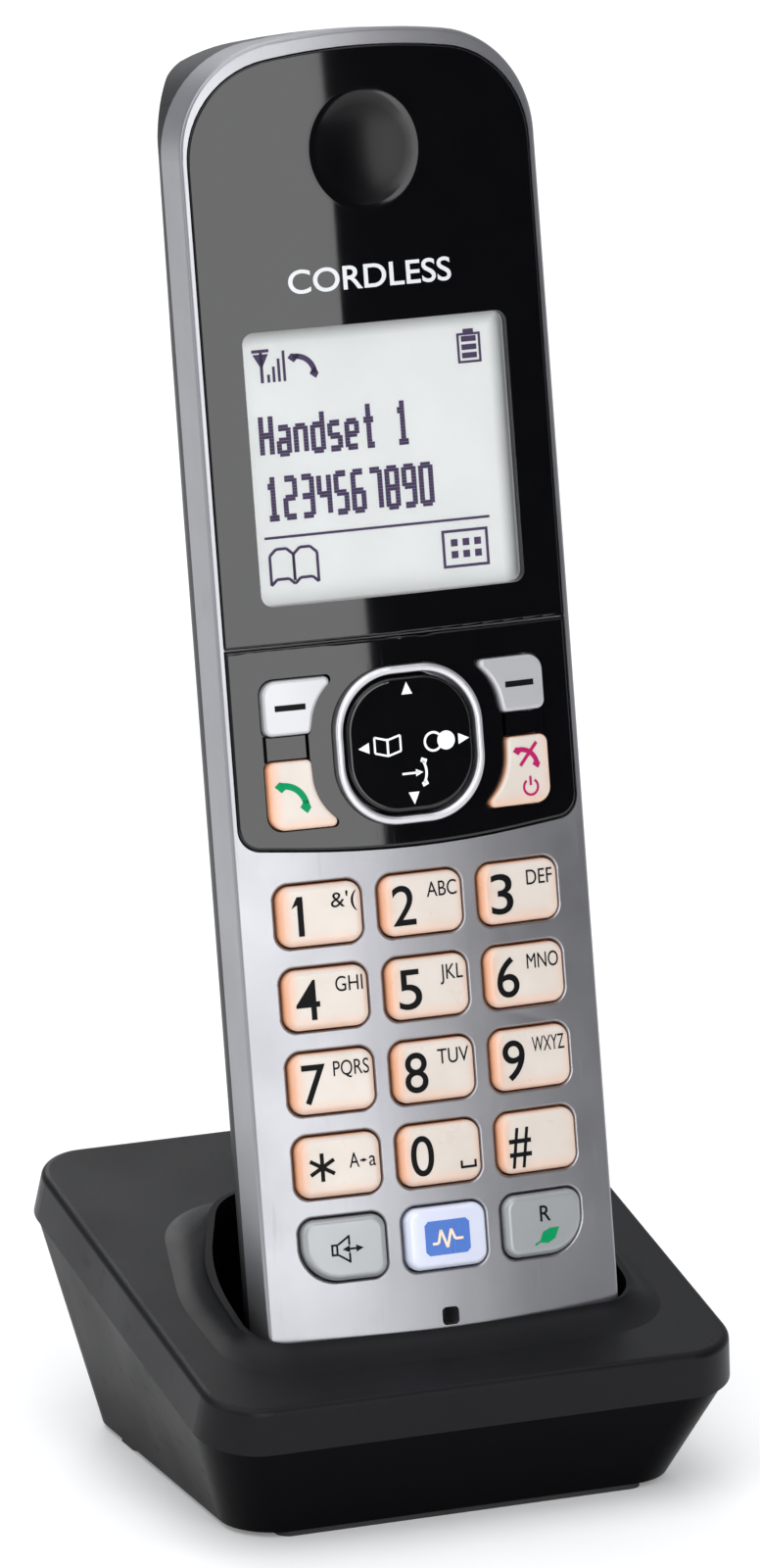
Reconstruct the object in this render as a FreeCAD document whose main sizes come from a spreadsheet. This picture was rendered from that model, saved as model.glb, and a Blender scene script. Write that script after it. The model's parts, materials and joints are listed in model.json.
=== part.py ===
import FreeCAD, Part
import os
from math import acos, atan2, cos, radians, sin, sqrt, tan

import Sketcher

Vector = FreeCAD.Vector
Rotation = FreeCAD.Rotation
Placement = FreeCAD.Placement

# A cordless telephone standing in its charger.
#
# The whole part: X to the right, Y to the back, Z up, millimetres, with the origin under the middle
# of the charger, on the surface it stands on.
# The handset is drawn upright in a frame of its own, and its Placement leans it back in the cup:
# X across it, Z up it from its foot, and Y the depth below the middle of its front face.
# The charger's cup is drawn in that same leaning frame, so the handset lifts straight out of it.
# The charger's top is drawn in a third frame, with Z square to the sloping top.

DIMENSIONS = {
    # handset outside
    "handset_width": 48.0,
    "handset_length": 171.2,
    "lean_angle": 11.17,
    "handset_front": -24.2,
    "handset_foot": 16.68,
    "crown_radius": 150.0,
    "band_back": 8.5,
    "body_depth": 28.5,
    "foot_corner": 6.0,
    "head_corner": 14.0,
    "head_crown": 84.0,
    "head_slope": 8.0,
    "shell_wall": 1.8,
    "taper_start": 112.0,
    "head_depth": 17.5,
    "roof_radius": 15.5,
    # front cover and its panels
    "web_front": 3.0,
    "web_back": 4.4,
    "panel_width": 46.4,
    "panel_split": 95.0,
    "panel_top": 169.1,
    "panel_foot": 68.6,
    "panel_gap": 0.1,
    "window_width": 35.8,
    "window_low": 100.0,
    "window_high": 134.4,
    "window_recess": 2.2,
    "dimple_height": 156.1,
    "dimple_radius": 7.4,
    "dimple_depth": 1.3,
    # keys
    "column_pitch": 13.55,
    "row_pitch": 10.6,
    "low_row": 29.2,
    "hole_width": 11.4,
    "hole_height": 8.1,
    "hole_corner": 2.0,
    "key_gap": 0.22,
    "key_rise": 0.9,
    "key_travel": 0.5,
    "foot_row_low": 14.4,
    "foot_row_high": 22.8,
    "side_key_edge": 19.3,
    "side_key_tip": 0.65,
    "soft_low": 83.6,
    "soft_high": 91.0,
    "call_low": 71.7,
    "call_high": 80.8,
    # navigator
    "ring_height": 81.2,
    "ring_radius": 10.0,
    "ring_inner": 8.98,
    "ring_rise": 0.9,
    "side_clear": 13.1,
    # inside the handset
    "mat_front": 6.0,
    "mat_thick": 0.7,
    "board_front": 6.8,
    "board_thick": 1.2,
    "cell_radius": 5.25,
    "cell_length": 44.5,
    "cell_foot": 36.5,
    "bay_floor": 14.4,
    "bay_low": 33.0,
    "bay_high": 84.0,
    "bay_half": 12.2,
    "cover_low": 29.5,
    "cover_high": 88.5,
    "cover_half": 15.6,
    "cover_wall": 1.5,
    # charger
    "base_width": 71.6,
    "base_length": 69.76,
    "base_corner": 7.0,
    "base_middle": 26.935,
    "base_slope": 12.0,
    "skirt_height": 6.05,
    "skirt_flare": 0.7,
    "base_wall": 1.8,
    "foot_width": 60.9,
    "foot_length": 54.2,
    "foot_level": 0.8,
    "seam_step": 0.3,
    "rim_front": 2.1,
    "rim_back": 5.2,
    "cup_side": 2.2,
    "cup_front": 0.45,
    "cup_back": 1.6,
    "cup_wall": 1.5,
    "cup_floor": -0.3,
    "contact_side": 9.0,
    "contact_depth": 15.0,
}

doc = FreeCAD.newDocument("CordlessPhone")
sheet = doc.addObject("Spreadsheet::Sheet", "Dims")
for row, (alias, value) in enumerate(DIMENSIONS.items(), start=1):
    sheet.set(f"A{row}", alias)
    sheet.set(f"B{row}", str(value))
    sheet.setAlias(f"B{row}", alias)
doc.recompute()


class Size:
    """A length or angle worked out from the sheet: its number now, and the expression that gives it."""

    def __init__(self, number, text):
        self.number = number
        self.text = text

    def __add__(self, other):
        other = as_size(other)
        return Size(self.number + other.number, f"({self.text} + {other.text})")

    def __sub__(self, other):
        other = as_size(other)
        return Size(self.number - other.number, f"({self.text} - {other.text})")

    def __mul__(self, other):
        other = as_size(other)
        return Size(self.number * other.number, f"({self.text} * {other.text})")

    def __truediv__(self, other):
        other = as_size(other)
        return Size(self.number / other.number, f"({self.text} / {other.text})")

    def __radd__(self, other):
        return as_size(other) + self

    def __rsub__(self, other):
        return as_size(other) - self

    def __rmul__(self, other):
        return as_size(other) * self

    def __neg__(self):
        return Size(-self.number, f"(-1 * {self.text})")


def as_size(value):
    return value if isinstance(value, Size) else Size(float(value), f"({float(value)})")


def dim(alias):
    return Size(float(sheet.get(alias)), f"Dims.{alias}")


def tangent_of(degrees):
    return Size(tan(radians(degrees.number)), f"tan({degrees.text} * 1 deg)")


def sine_of(degrees):
    return Size(sin(radians(degrees.number)), f"sin({degrees.text} * 1 deg)")


def cosine_of(degrees):
    return Size(cos(radians(degrees.number)), f"cos({degrees.text} * 1 deg)")


def root_of(value):
    return Size(sqrt(value.number), f"sqrt({value.text})")


def bind(thing, prop, size):
    thing.setExpression(prop, as_size(size).text)


# ---- sketches -------------------------------------------------------------------------------------


def new_body(label):
    body = doc.addObject("PartDesign::Body", label)
    body.Label = label
    return body


def new_sketch(body, name, role, offset=0.0, tilt=0.0, shift=0.0):
    """A sketch on one of the body's origin planes, moved by offset along the plane's normal.

    It can also be moved by shift along the plane's second axis, and tilted about its first.
    """
    plane = [item for item in body.Origin.OriginFeatures if item.Role == role][0]
    sketch = body.newObject("Sketcher::SketchObject", name)
    sketch.AttachmentSupport = [(plane, "")]
    sketch.MapMode = "FlatFace"
    offset, shift = as_size(offset), as_size(shift)
    turn = Rotation(Vector(1, 0, 0), as_size(tilt).number)
    sketch.AttachmentOffset = Placement(Vector(0, shift.number, offset.number), turn)
    bind(sketch, "AttachmentOffset.Base.y", shift)
    bind(sketch, "AttachmentOffset.Base.z", offset)
    return sketch


def hold_point(sketch, point, x, y, values):
    """Holds a sketch point at (x, y); a zero is held by lying on the axis."""
    if abs(x.number) < 1e-9:
        values.append((Sketcher.Constraint("PointOnObject", point, 1, -2), None))
    else:
        values.append((Sketcher.Constraint("DistanceX", -1, 1, point, 1, x.number), x))
    if abs(y.number) < 1e-9:
        values.append((Sketcher.Constraint("PointOnObject", point, 1, -1), None))
    else:
        values.append((Sketcher.Constraint("DistanceY", -1, 1, point, 1, y.number), y))


def apply_constraints(sketch, values):
    first = sketch.ConstraintCount
    sketch.addConstraint([constraint for constraint, size in values])
    for index, (constraint, size) in enumerate(values):
        if size is not None:
            bind(sketch, f"Constraints[{first + index}]", size)


def outline(sketch, corners):
    """A closed outline through corners (x, y, radius).

    A radius rounds that corner. A fourth value is the radius of the arc that leads to the next corner
    in place of a straight side: positive when the arc's centre is to the left of the way along it.
    """
    corners = [tuple(as_size(value) for value in corner) for corner in corners]
    count = len(corners)
    points = [Vector(corner[0].number, corner[1].number, 0) for corner in corners]
    starts, ends, arcs = list(points), list(points), {}
    for i, corner in enumerate(corners):
        radius = corner[2].number
        if radius < 1e-9:
            continue
        back = (points[i - 1] - points[i]).normalize()
        ahead = (points[(i + 1) % count] - points[i]).normalize()
        half = acos(max(-1.0, min(1.0, back.dot(ahead)))) / 2
        reach = radius / tan(half)
        centre = points[i] + (back + ahead).normalize() * (radius / sin(half))
        ends[i] = points[i] + back * reach
        starts[i] = points[i] + ahead * reach
        turns_left = (ahead.x * back.y - ahead.y * back.x) > 0
        arcs[i] = (centre, radius, turns_left)
    sides = []
    for i in range(count):
        begin, finish = starts[i], ends[(i + 1) % count]
        if len(corners[i]) == 4:
            sides.append(add_arc(sketch, begin, finish, corners[i][3].number))
        else:
            line = sketch.addGeometry(Part.LineSegment(begin, finish), False)
            sides.append((line, 1, 2))
    values = []
    for i, corner in enumerate(corners):
        before, after = sides[i - 1], sides[i]
        point = sketch.addGeometry(Part.Point(points[i]), True)
        hold_point(sketch, point, corner[0], corner[1], values)
        if i in arcs:
            centre, radius, turns_left = arcs[i]
            first, last = (ends[i], starts[i]) if turns_left else (starts[i], ends[i])
            circle = Part.Circle(centre, Vector(0, 0, 1), radius)
            begin_angle = atan2(first.y - centre.y, first.x - centre.x)
            end_angle = atan2(last.y - centre.y, last.x - centre.x)
            arc = sketch.addGeometry(Part.ArcOfCircle(circle, begin_angle, end_angle), False)
            near, far = (1, 2) if turns_left else (2, 1)
            values.append((Sketcher.Constraint("PointOnObject", point, 1, before[0]), None))
            values.append((Sketcher.Constraint("PointOnObject", point, 1, after[0]), None))
            values.append((Sketcher.Constraint("Tangent", before[0], before[2], arc, near), None))
            values.append((Sketcher.Constraint("Tangent", arc, far, after[0], after[1]), None))
            values.append((Sketcher.Constraint("Radius", arc, radius), corner[2]))
        else:
            values.append((Sketcher.Constraint("Coincident", before[0], before[2], point, 1), None))
            values.append((Sketcher.Constraint("Coincident", after[0], after[1], point, 1), None))
        if len(corner) == 4:
            size = corner[3] if corner[3].number > 0 else -corner[3]
            values.append((Sketcher.Constraint("Radius", after[0], size.number), size))
    apply_constraints(sketch, values)
    return sketch


def add_arc(sketch, begin, finish, radius):
    """Adds an arc from begin to finish and says which of its ends is which: (arc, begin end, finish end)."""
    chord = finish - begin
    left = Vector(-chord.y, chord.x, 0).normalize()
    rise = sqrt(radius * radius - (chord.Length / 2) ** 2)
    centre = (begin + finish) * 0.5 + left * (rise if radius > 0 else -rise)
    first, last = (begin, finish) if radius > 0 else (finish, begin)
    circle = Part.Circle(centre, Vector(0, 0, 1), abs(radius))
    begin_angle = atan2(first.y - centre.y, first.x - centre.x)
    end_angle = atan2(last.y - centre.y, last.x - centre.x)
    arc = sketch.addGeometry(Part.ArcOfCircle(circle, begin_angle, end_angle), False)
    return (arc, 1, 2) if radius > 0 else (arc, 2, 1)


def ring_outline(sketch, x, y, radius):
    x, y, radius = as_size(x), as_size(y), as_size(radius)
    circle = Part.Circle(Vector(x.number, y.number, 0), Vector(0, 0, 1), radius.number)
    index = sketch.addGeometry(circle, False)
    values = []
    if abs(x.number) < 1e-9:
        values.append((Sketcher.Constraint("PointOnObject", index, 3, -2), None))
    else:
        values.append((Sketcher.Constraint("DistanceX", -1, 1, index, 3, x.number), x))
    if abs(y.number) < 1e-9:
        values.append((Sketcher.Constraint("PointOnObject", index, 3, -1), None))
    else:
        values.append((Sketcher.Constraint("DistanceY", -1, 1, index, 3, y.number), y))
    values.append((Sketcher.Constraint("Radius", index, radius.number), radius))
    apply_constraints(sketch, values)
    return sketch


def rectangle(x, y, width, height, radius):
    """The corners of a rounded rectangle about (x, y)."""
    x, y, width, height = as_size(x), as_size(y), as_size(width), as_size(height)
    return [
        (x - width / 2, y - height / 2, radius),
        (x + width / 2, y - height / 2, radius),
        (x + width / 2, y + height / 2, radius),
        (x - width / 2, y + height / 2, radius),
    ]


def draw(sketch, shape):
    """Draws a list of corners, or a circle given as (x, y, radius)."""
    if isinstance(shape, tuple):
        ring_outline(sketch, *shape)
    else:
        outline(sketch, shape)


# ---- features -------------------------------------------------------------------------------------


def feature(body, kind, name, sketch, length):
    item = body.newObject(kind, name)
    item.Profile = sketch
    item.Length = as_size(length).number
    bind(item, "Length", length)
    sketch.Visibility = False
    return item


def must_change(body, before, grows, name):
    doc.recompute()
    change = body.Shape.Volume - before
    if abs(change) < 1e-6 or (change > 0) != grows:
        raise RuntimeError(f"{body.Label}: {name} changed the volume by {change:.4f}")


def front_pad(body, name, shapes, near, far):
    """Material between two depths, in outlines seen from the front."""
    sketch = new_sketch(body, f"{body.Label}_{name}_outline", "XZ_Plane", -as_size(far))
    for shape in shapes:
        draw(sketch, shape)
    doc.recompute()
    before = body.Shape.Volume if body.Tip else 0.0
    pad = feature(body, "PartDesign::Pad", f"{body.Label}_{name}", sketch, as_size(far) - near)
    must_change(body, before, True, name)
    return pad


def front_pocket(body, name, shapes, near, far):
    """A hollow between two depths, in outlines seen from the front."""
    sketch = new_sketch(body, f"{body.Label}_{name}_outline", "XZ_Plane", -as_size(near))
    for shape in shapes:
        draw(sketch, shape)
    doc.recompute()
    before = body.Shape.Volume
    pocket = feature(body, "PartDesign::Pocket", f"{body.Label}_{name}", sketch, as_size(far) - near)
    must_change(body, before, False, name)
    return pocket


def level_pad(body, name, shapes, low, high):
    """Material between two heights, in outlines seen from above."""
    sketch = new_sketch(body, f"{body.Label}_{name}_outline", "XY_Plane", low)
    for shape in shapes:
        draw(sketch, shape)
    doc.recompute()
    before = body.Shape.Volume if body.Tip else 0.0
    pad = feature(body, "PartDesign::Pad", f"{body.Label}_{name}", sketch, as_size(high) - low)
    must_change(body, before, True, name)
    return pad


def level_pocket(body, name, shapes, low, high):
    """A hollow between two heights, in outlines seen from above."""
    sketch = new_sketch(body, f"{body.Label}_{name}_outline", "XY_Plane", high)
    for shape in shapes:
        draw(sketch, shape)
    doc.recompute()
    before = body.Shape.Volume
    pocket = feature(body, "PartDesign::Pocket", f"{body.Label}_{name}", sketch, as_size(high) - low)
    must_change(body, before, False, name)
    return pocket


def side_pad(body, name, shapes, left, right):
    """Material between two places across the part, in outlines seen from the side."""
    sketch = new_sketch(body, f"{body.Label}_{name}_outline", "YZ_Plane", left)
    for shape in shapes:
        draw(sketch, shape)
    doc.recompute()
    before = body.Shape.Volume if body.Tip else 0.0
    pad = feature(body, "PartDesign::Pad", f"{body.Label}_{name}", sketch, as_size(right) - left)
    must_change(body, before, True, name)
    return pad


def side_pocket(body, name, shapes, left, right):
    """A hollow between two places across the part, in outlines seen from the side."""
    sketch = new_sketch(body, f"{body.Label}_{name}_outline", "YZ_Plane", right)
    for shape in shapes:
        draw(sketch, shape)
    doc.recompute()
    before = body.Shape.Volume
    pocket = feature(body, "PartDesign::Pocket", f"{body.Label}_{name}", sketch, as_size(right) - left)
    must_change(body, before, False, name)
    return pocket


def crown_cut(body, rise):
    """Cuts everything in front of the crowned face, raised by rise from the handset's own face."""
    reach = dim("handset_width") / 2 + 6
    radius = dim("crown_radius") + rise
    edge = dim("crown_radius") - root_of(radius * radius - reach * reach)
    front = -(as_size(rise) + 8)
    sketch = new_sketch(body, f"{body.Label}_crown_outline", "XY_Plane", -5)
    outline(sketch, [(-reach, edge, 0, radius), (reach, edge, 0), (reach, front, 0), (-reach, front, 0)])
    doc.recompute()
    before = body.Shape.Volume
    pocket = feature(body, "PartDesign::Pocket", f"{body.Label}_crown", sketch, dim("handset_length") + 10)
    pocket.Reversed = True
    must_change(body, before, False, "crown")
    return pocket


def round_edges(body, name, radius, chosen, kind="PartDesign::Fillet"):
    """Rounds the edges of the body's shape that the test chooses."""
    doc.recompute()
    names = [f"Edge{i + 1}" for i, edge in enumerate(body.Tip.Shape.Edges) if chosen(edge)]
    if not names:
        raise RuntimeError(f"{body.Label}: no edges for {name}")
    base = body.Tip
    item = body.newObject(kind, f"{body.Label}_{name}")
    item.Base = (base, names)
    prop = "Size" if kind.endswith("Chamfer") else "Radius"
    bind(item, prop, radius)
    doc.recompute()
    if "Invalid" in item.State or item.Shape.isNull() or not item.Shape.isValid():
        raise RuntimeError(f"{body.Label}: {name} failed")
    return item


def middle_of(edge):
    return edge.valueAt((edge.FirstParameter + edge.LastParameter) / 2)


def on_crown(edge, rise=0.0):
    """True for an edge that lies in the crowned face raised by rise."""
    samples = [edge.valueAt(edge.FirstParameter + (edge.LastParameter - edge.FirstParameter) * part)
               for part in (0.0, 0.5, 1.0)]
    radius = DIMENSIONS["crown_radius"]
    return all(abs(sqrt(p.x ** 2 + (radius - p.y) ** 2) - radius - rise) < 1e-4 for p in samples)


# ---- outlines of the handset ----------------------------------------------------------------------

width = dim("handset_width")
length = dim("handset_length")
slope = dim("head_slope")
head_flat = dim("head_crown") / cosine_of(slope) - dim("head_crown")


def handset_outline(inset):
    """The handset from the front: square foot with rounded corners, and a domed head."""
    inset = as_size(inset)
    half = width / 2 - inset
    peak = length - inset + head_flat
    shoulder = peak - half * tangent_of(slope)
    head = dim("head_corner") - inset
    return [
        (-half, inset, dim("foot_corner") - inset * 0.5),
        (half, inset, dim("foot_corner") - inset * 0.5),
        (half, shoulder, head),
        (as_size(0), peak, dim("head_crown") - inset * 4),
        (-half, shoulder, head),
    ]


def panel_outline(low, gap, foot_corner=1.0):
    """The black panels' outline above low: they fill the head of the front cover."""
    gap = as_size(gap)
    half = dim("panel_width") / 2 - gap
    peak = dim("panel_top") - gap + head_flat
    return [
        (-half, low, foot_corner),
        (half, low, foot_corner),
        (half, peak - half * tangent_of(slope), dim("head_corner") - 1.4),
        (as_size(0), peak, dim("head_crown") - 3),
        (-half, peak - half * tangent_of(slope), dim("head_corner") - 1.4),
    ]


def function_outline(top, gap):
    """The lower black panel: a straight top edge and a foot that sags towards the middle."""
    gap = as_size(gap)
    half = dim("panel_width") / 2 - gap
    foot = dim("panel_foot") + gap
    return [
        (-half, foot + 1.1, 3.0),
        (as_size(0), foot - 1.1, 150.0),
        (half, foot + 1.1, 3.0),
        (half, top, 0),
        (-half, top, 0),
    ]


def side_key(low, high, outer_radius_low, outer_radius_high, side, grow):
    """A key beside the navigator: its hollowed inner side follows a circle about the navigator.

    The two straight runs of that side touch the circle at its ends, and meet in a rounded hollow.
    """
    grow = as_size(grow)
    centre = dim("ring_height")
    clear = dim("side_clear") - grow
    low, high = low - grow, high + grow
    outer = dim("side_key_edge") + grow
    low_offset, high_offset = low - centre, high - centre
    inner_low = root_of(clear * clear - low_offset * low_offset)
    inner_high = root_of(clear * clear - high_offset * high_offset)
    share = clear * clear / (clear * clear + inner_low * inner_high + low_offset * high_offset)
    meeting = (inner_low + inner_high) * share
    corners = [
        (inner_low, low, dim("side_key_tip")),
        (outer, low, outer_radius_low),
        (outer, high, outer_radius_high),
        (inner_high, high, dim("side_key_tip")),
        (meeting, centre + (low_offset + high_offset) * share, clear * 0.55),
    ]
    if side > 0:
        return corners
    return [(-x, y, radius) for x, y, radius in reversed(corners)]


def soft_key(side, grow):
    return side_key(dim("soft_low"), dim("soft_high"), 1.1, 2.0, side, grow)


def call_key(side, grow):
    return side_key(dim("call_low"), dim("call_high"), 2.0, 1.1, side, grow)


def number_key(column, row_up, grow):
    """One of the twelve number keys, by its column (-1, 0, 1) and its row counted from the lowest."""
    grow = as_size(grow)
    return rectangle(
        dim("column_pitch") * column, dim("low_row") + dim("row_pitch") * row_up,
        dim("hole_width") + grow * 2, dim("hole_height") + grow * 2, dim("hole_corner") + grow)


def foot_key(column, grow):
    """A key of the lowest row: the outer ones have one large rounded corner."""
    grow = as_size(grow)
    middle = dim("column_pitch") * column
    half = dim("hole_width") / 2 + grow
    low = dim("foot_row_low") - grow
    high = dim("foot_row_high") + grow
    corner = dim("hole_corner") + grow
    large = corner + 3
    return [
        (middle - half, low, large if column < 0 else corner),
        (middle + half, low, large if column > 0 else corner),
        (middle + half, high, corner),
        (middle - half, high, corner),
    ]


NUMBER_KEYS = [
    ("key_1", -1, 3), ("key_2", 0, 3), ("key_3", 1, 3),
    ("key_4", -1, 2), ("key_5", 0, 2), ("key_6", 1, 2),
    ("key_7", -1, 1), ("key_8", 0, 1), ("key_9", 1, 1),
    ("key_star", -1, 0), ("key_0", 0, 0), ("key_hash", 1, 0),
]
FOOT_KEYS = [("speaker_key", -1), ("noise_key", 0), ("recall_key", 1)]

# Handset: keys and openings
KEY_SOFT_EDGE = 0.85
SIDE_KEY_SOFT_EDGE = 0.45
KEY_FLANGE_THICK = 0.6
GROOVE_WIDTH = 0.45
GROOVE_DEPTH = 1.8
MICROPHONE_HEIGHT = 8.45
MICROPHONE_OPENING = 2.3

# Handset: rear case and what is inside it; screws are (x, height)
HANDSET_SCREWS = [(-9.0, 95.0), (9.0, 95.0), (0.0, 20.0)]
SCREW_SEAT = 18.0
SCREW_BOSS_RADIUS = 2.8
FLANK_LEAN = 22.0
FLANK_LEAN_GAIN = 14.0
SCOOP_RADIUS = 12.0
SCOOP_DEPTH = 0.9
SCOOP_DROP = 9
GRILLE_SLOTS = 5
GRILLE_LOW = 101
GRILLE_PITCH = 2.6
GRILLE_SLOT = 1.2
GRILLE_HALF = 7
EARPIECE_RADIUS = 6.5
LOUDSPEAKER_RADIUS = 8.0
LOUDSPEAKER_HEIGHT = 106.2
BATTERY_PLATE = 8.4

# Charger: its draft, the collar round the cup, screw posts (x, y) and power inlet
TAPER = 6.6
COLLAR_SPREAD = 5.6
COLLAR_LIP = 0.9
COLLAR_STEPS = 5
COLLAR_SINK = 0.12
RIM_TILT = 4.9
CUP_SIDE_RADIUS = 28.0
CUP_BACK_SHARE = 0.72
BASE_SCREWS = [(-22.0, 22.0), (22.0, 22.0)]
POST_RADIUS = 3.2
POST_FOOT = 10.0
SCREW_HEAD_TOP = 3.2
INLET_HEIGHT = 10.0
INLET_WIDTH = 7.0
INLET_TALL = 5.4

pieces = []


def finish_piece(item, placement, label=None):
    """Names a finished sub-part, puts it in its place and keeps it for writing out."""
    if label:
        item.Label = label
    item.Placement = CENTRING.multiply(placement)
    pieces.append(item)
    return item


def handset_place():
    place = Placement(Vector(0, DIMENSIONS["handset_front"], DIMENSIONS["handset_foot"]),
                      Rotation(Vector(1, 0, 0), -DIMENSIONS["lean_angle"]))
    return place


def middle_shift():
    """Half of what the sloping charger reaches further back than forward, seen from above."""
    tilt = radians(DIMENSIONS["base_slope"])
    back = DIMENSIONS["skirt_flare"] * cos(tilt) + DIMENSIONS["skirt_height"] * sin(tilt)
    return back / 2 + 0.04


CENTRING = Placement(Vector(0, -middle_shift(), 0), Rotation())
HANDSET = handset_place()
BASE_TOP = Placement(Vector(0, 0, DIMENSIONS["base_middle"]),
                     Rotation(Vector(1, 0, 0), DIMENSIONS["base_slope"]))


# ---- handset: front cover and panels --------------------------------------------------------------


def make_front_frame():
    """The silver front cover: a crowned face with a side band, hollow behind, pierced for the keys."""
    body = new_body("handset_front_frame")
    band_back, web_front, web_back = dim("band_back"), dim("web_front"), dim("web_back")
    front_pad(body, "block", [handset_outline(0)], 0, band_back)
    crown_cut(body, 0)
    round_edges(body, "crease", 0.5, lambda edge: on_crown(edge))
    front_pocket(body, "hollow", [handset_outline(dim("shell_wall"))], web_back, band_back + 1)
    head = panel_outline(dim("panel_split") - 0.5, 0)
    foot = function_outline(dim("panel_split"), 0)
    front_pocket(body, "display_seat", [head], -1, web_front)
    front_pocket(body, "function_seat", [foot], -1, web_front)
    window_middle = (dim("window_low") + dim("window_high")) / 2
    window_height = dim("window_high") - dim("window_low")
    module = rectangle(0, window_middle, dim("window_width") + 4, window_height + 4, 1.0)
    front_pocket(body, "module_opening", [module], web_front, web_back)
    front_pocket(body, "sound_opening", [(0, dim("dimple_height"), 4.0)], web_front, web_back)
    ring_hole = (0, dim("ring_height"), dim("ring_radius") - 0.6)
    front_pocket(body, "ring_opening", [ring_hole], web_front, web_back)
    for side in (-1, 1):
        name = "left" if side < 0 else "right"
        front_pocket(body, f"soft_opening_{name}", [soft_key(side, 0)], web_front, web_back)
        front_pocket(body, f"call_opening_{name}", [call_key(side, 0)], web_front, web_back)
    for name, column, row_up in NUMBER_KEYS:
        front_pocket(body, f"{name}_opening", [number_key(column, row_up, 0)], -1, web_back)
    for name, column in FOOT_KEYS:
        front_pocket(body, f"{name}_opening", [foot_key(column, 0)], -1, web_back)
    mic_hole = rectangle(0, MICROPHONE_HEIGHT, MICROPHONE_OPENING, MICROPHONE_OPENING, 0.6)
    front_pocket(body, "mic_opening", [mic_hole], -1, web_back)
    inside = DIMENSIONS["hole_width"] / 2 + DIMENSIONS["column_pitch"] + 0.3
    key_top = DIMENSIONS["low_row"] + 3 * DIMENSIONS["row_pitch"] + DIMENSIONS["hole_height"] / 2 + 0.2

    def beside_a_key(edge):
        point = middle_of(edge)
        return on_crown(edge) and abs(point.x) < inside and 10.5 < point.z < key_top

    round_edges(body, "key_rims", 0.35, beside_a_key)
    return finish_piece(body, HANDSET)


def make_display_panel():
    """The upper gloss panel, with the display window and the earpiece's dished hollow."""
    body = new_body("display_panel")
    gap = dim("panel_gap")
    front_pad(body, "sheet", [panel_outline(dim("panel_split") + gap, gap, 0)], 0, dim("web_front"))
    crown_cut(body, 0)
    window_middle = (dim("window_low") + dim("window_high")) / 2
    window_height = dim("window_high") - dim("window_low")
    window = rectangle(0, window_middle, dim("window_width"), window_height, 1.5)
    front_pocket(body, "window", [window], -1, dim("web_front"))
    radius, depth = dim("dimple_radius"), dim("dimple_depth")
    ball_radius = (radius * radius + depth * depth) / (depth * 2)
    before = body.Shape.Volume
    ball = body.newObject("PartDesign::SubtractiveSphere", "display_panel_dimple")
    bind(ball, "Radius", ball_radius)
    ball.Placement.Base = Vector(0, depth.number - ball_radius.number, DIMENSIONS["dimple_height"])
    bind(ball, "Placement.Base.y", depth - ball_radius)
    bind(ball, "Placement.Base.z", dim("dimple_height"))
    must_change(body, before, False, "dimple")
    low = DIMENSIONS["dimple_height"] - DIMENSIONS["dimple_radius"] - 1.0
    high = DIMENSIONS["dimple_height"] + DIMENSIONS["dimple_radius"] + 1.0
    near = DIMENSIONS["dimple_radius"] + 1.0

    def round_the_dimple(edge):
        point = middle_of(edge)
        return on_crown(edge) and low < point.z < high and abs(point.x) < near

    def round_the_rim(edge):
        point = middle_of(edge)
        beyond_window = abs(point.x) > DIMENSIONS["window_width"] / 2 + 1 or point.z > high
        return on_crown(edge) and (beyond_window or point.z < DIMENSIONS["window_low"] - 1)

    round_edges(body, "dimple_lip", 2.4, round_the_dimple)
    round_edges(body, "rim", 0.35, round_the_rim)
    return finish_piece(body, HANDSET)


def make_function_panel():
    """The lower gloss panel round the navigator, the soft keys and the call keys."""
    body = new_body("function_panel")
    gap = dim("panel_gap")
    web_front = dim("web_front")
    front_pad(body, "sheet", [function_outline(dim("panel_split") - gap, gap)], 0, web_front)
    crown_cut(body, 0)
    front_pocket(body, "ring_opening", [navigator_outline(dim("ring_radius") + 0.1)], -1, web_front)
    for side in (-1, 1):
        name = "left" if side < 0 else "right"
        front_pocket(body, f"soft_opening_{name}", [soft_key(side, 0)], -1, web_front)
        front_pocket(body, f"call_opening_{name}", [call_key(side, 0)], -1, web_front)
        groove_middle = (dim("soft_low") + dim("call_high")) / 2
        groove_height = dim("soft_low") - dim("call_high") + 0.6
        grooves = [rectangle(x * side, groove_middle, GROOVE_WIDTH, groove_height, 0)
                   for x in (dim("side_key_edge") - 0.4, dim("side_clear") + 0.3)]
        front_pocket(body, f"grooves_{name}", grooves, -1, GROOVE_DEPTH)
    side = DIMENSIONS["panel_width"] / 2 - 1
    foot = DIMENSIONS["panel_foot"] + 2
    split = DIMENSIONS["panel_split"] - 0.5

    def on_the_rim(edge):
        point = middle_of(edge)
        return on_crown(edge) and (abs(point.x) > side or point.z < foot or point.z > split)

    round_edges(body, "rim", 0.5, on_the_rim)
    return finish_piece(body, HANDSET)


def make_display_window():
    body = new_body("display_window")
    gap = dim("panel_gap")
    window_middle = (dim("window_low") + dim("window_high")) / 2
    window_height = dim("window_high") - dim("window_low")
    sheet_outline = rectangle(0, window_middle, dim("window_width") - gap * 2, window_height - gap * 2, 1.4)
    front_pad(body, "sheet", [sheet_outline], dim("window_recess"), dim("web_front"))
    return finish_piece(body, HANDSET)


def navigator_outline(radius):
    """A circle drawn slightly square, as the navigator and its ring are."""
    radius = as_size(radius)
    return rectangle(0, dim("ring_height"), radius * 2, radius * 2, radius * 0.8)


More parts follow.
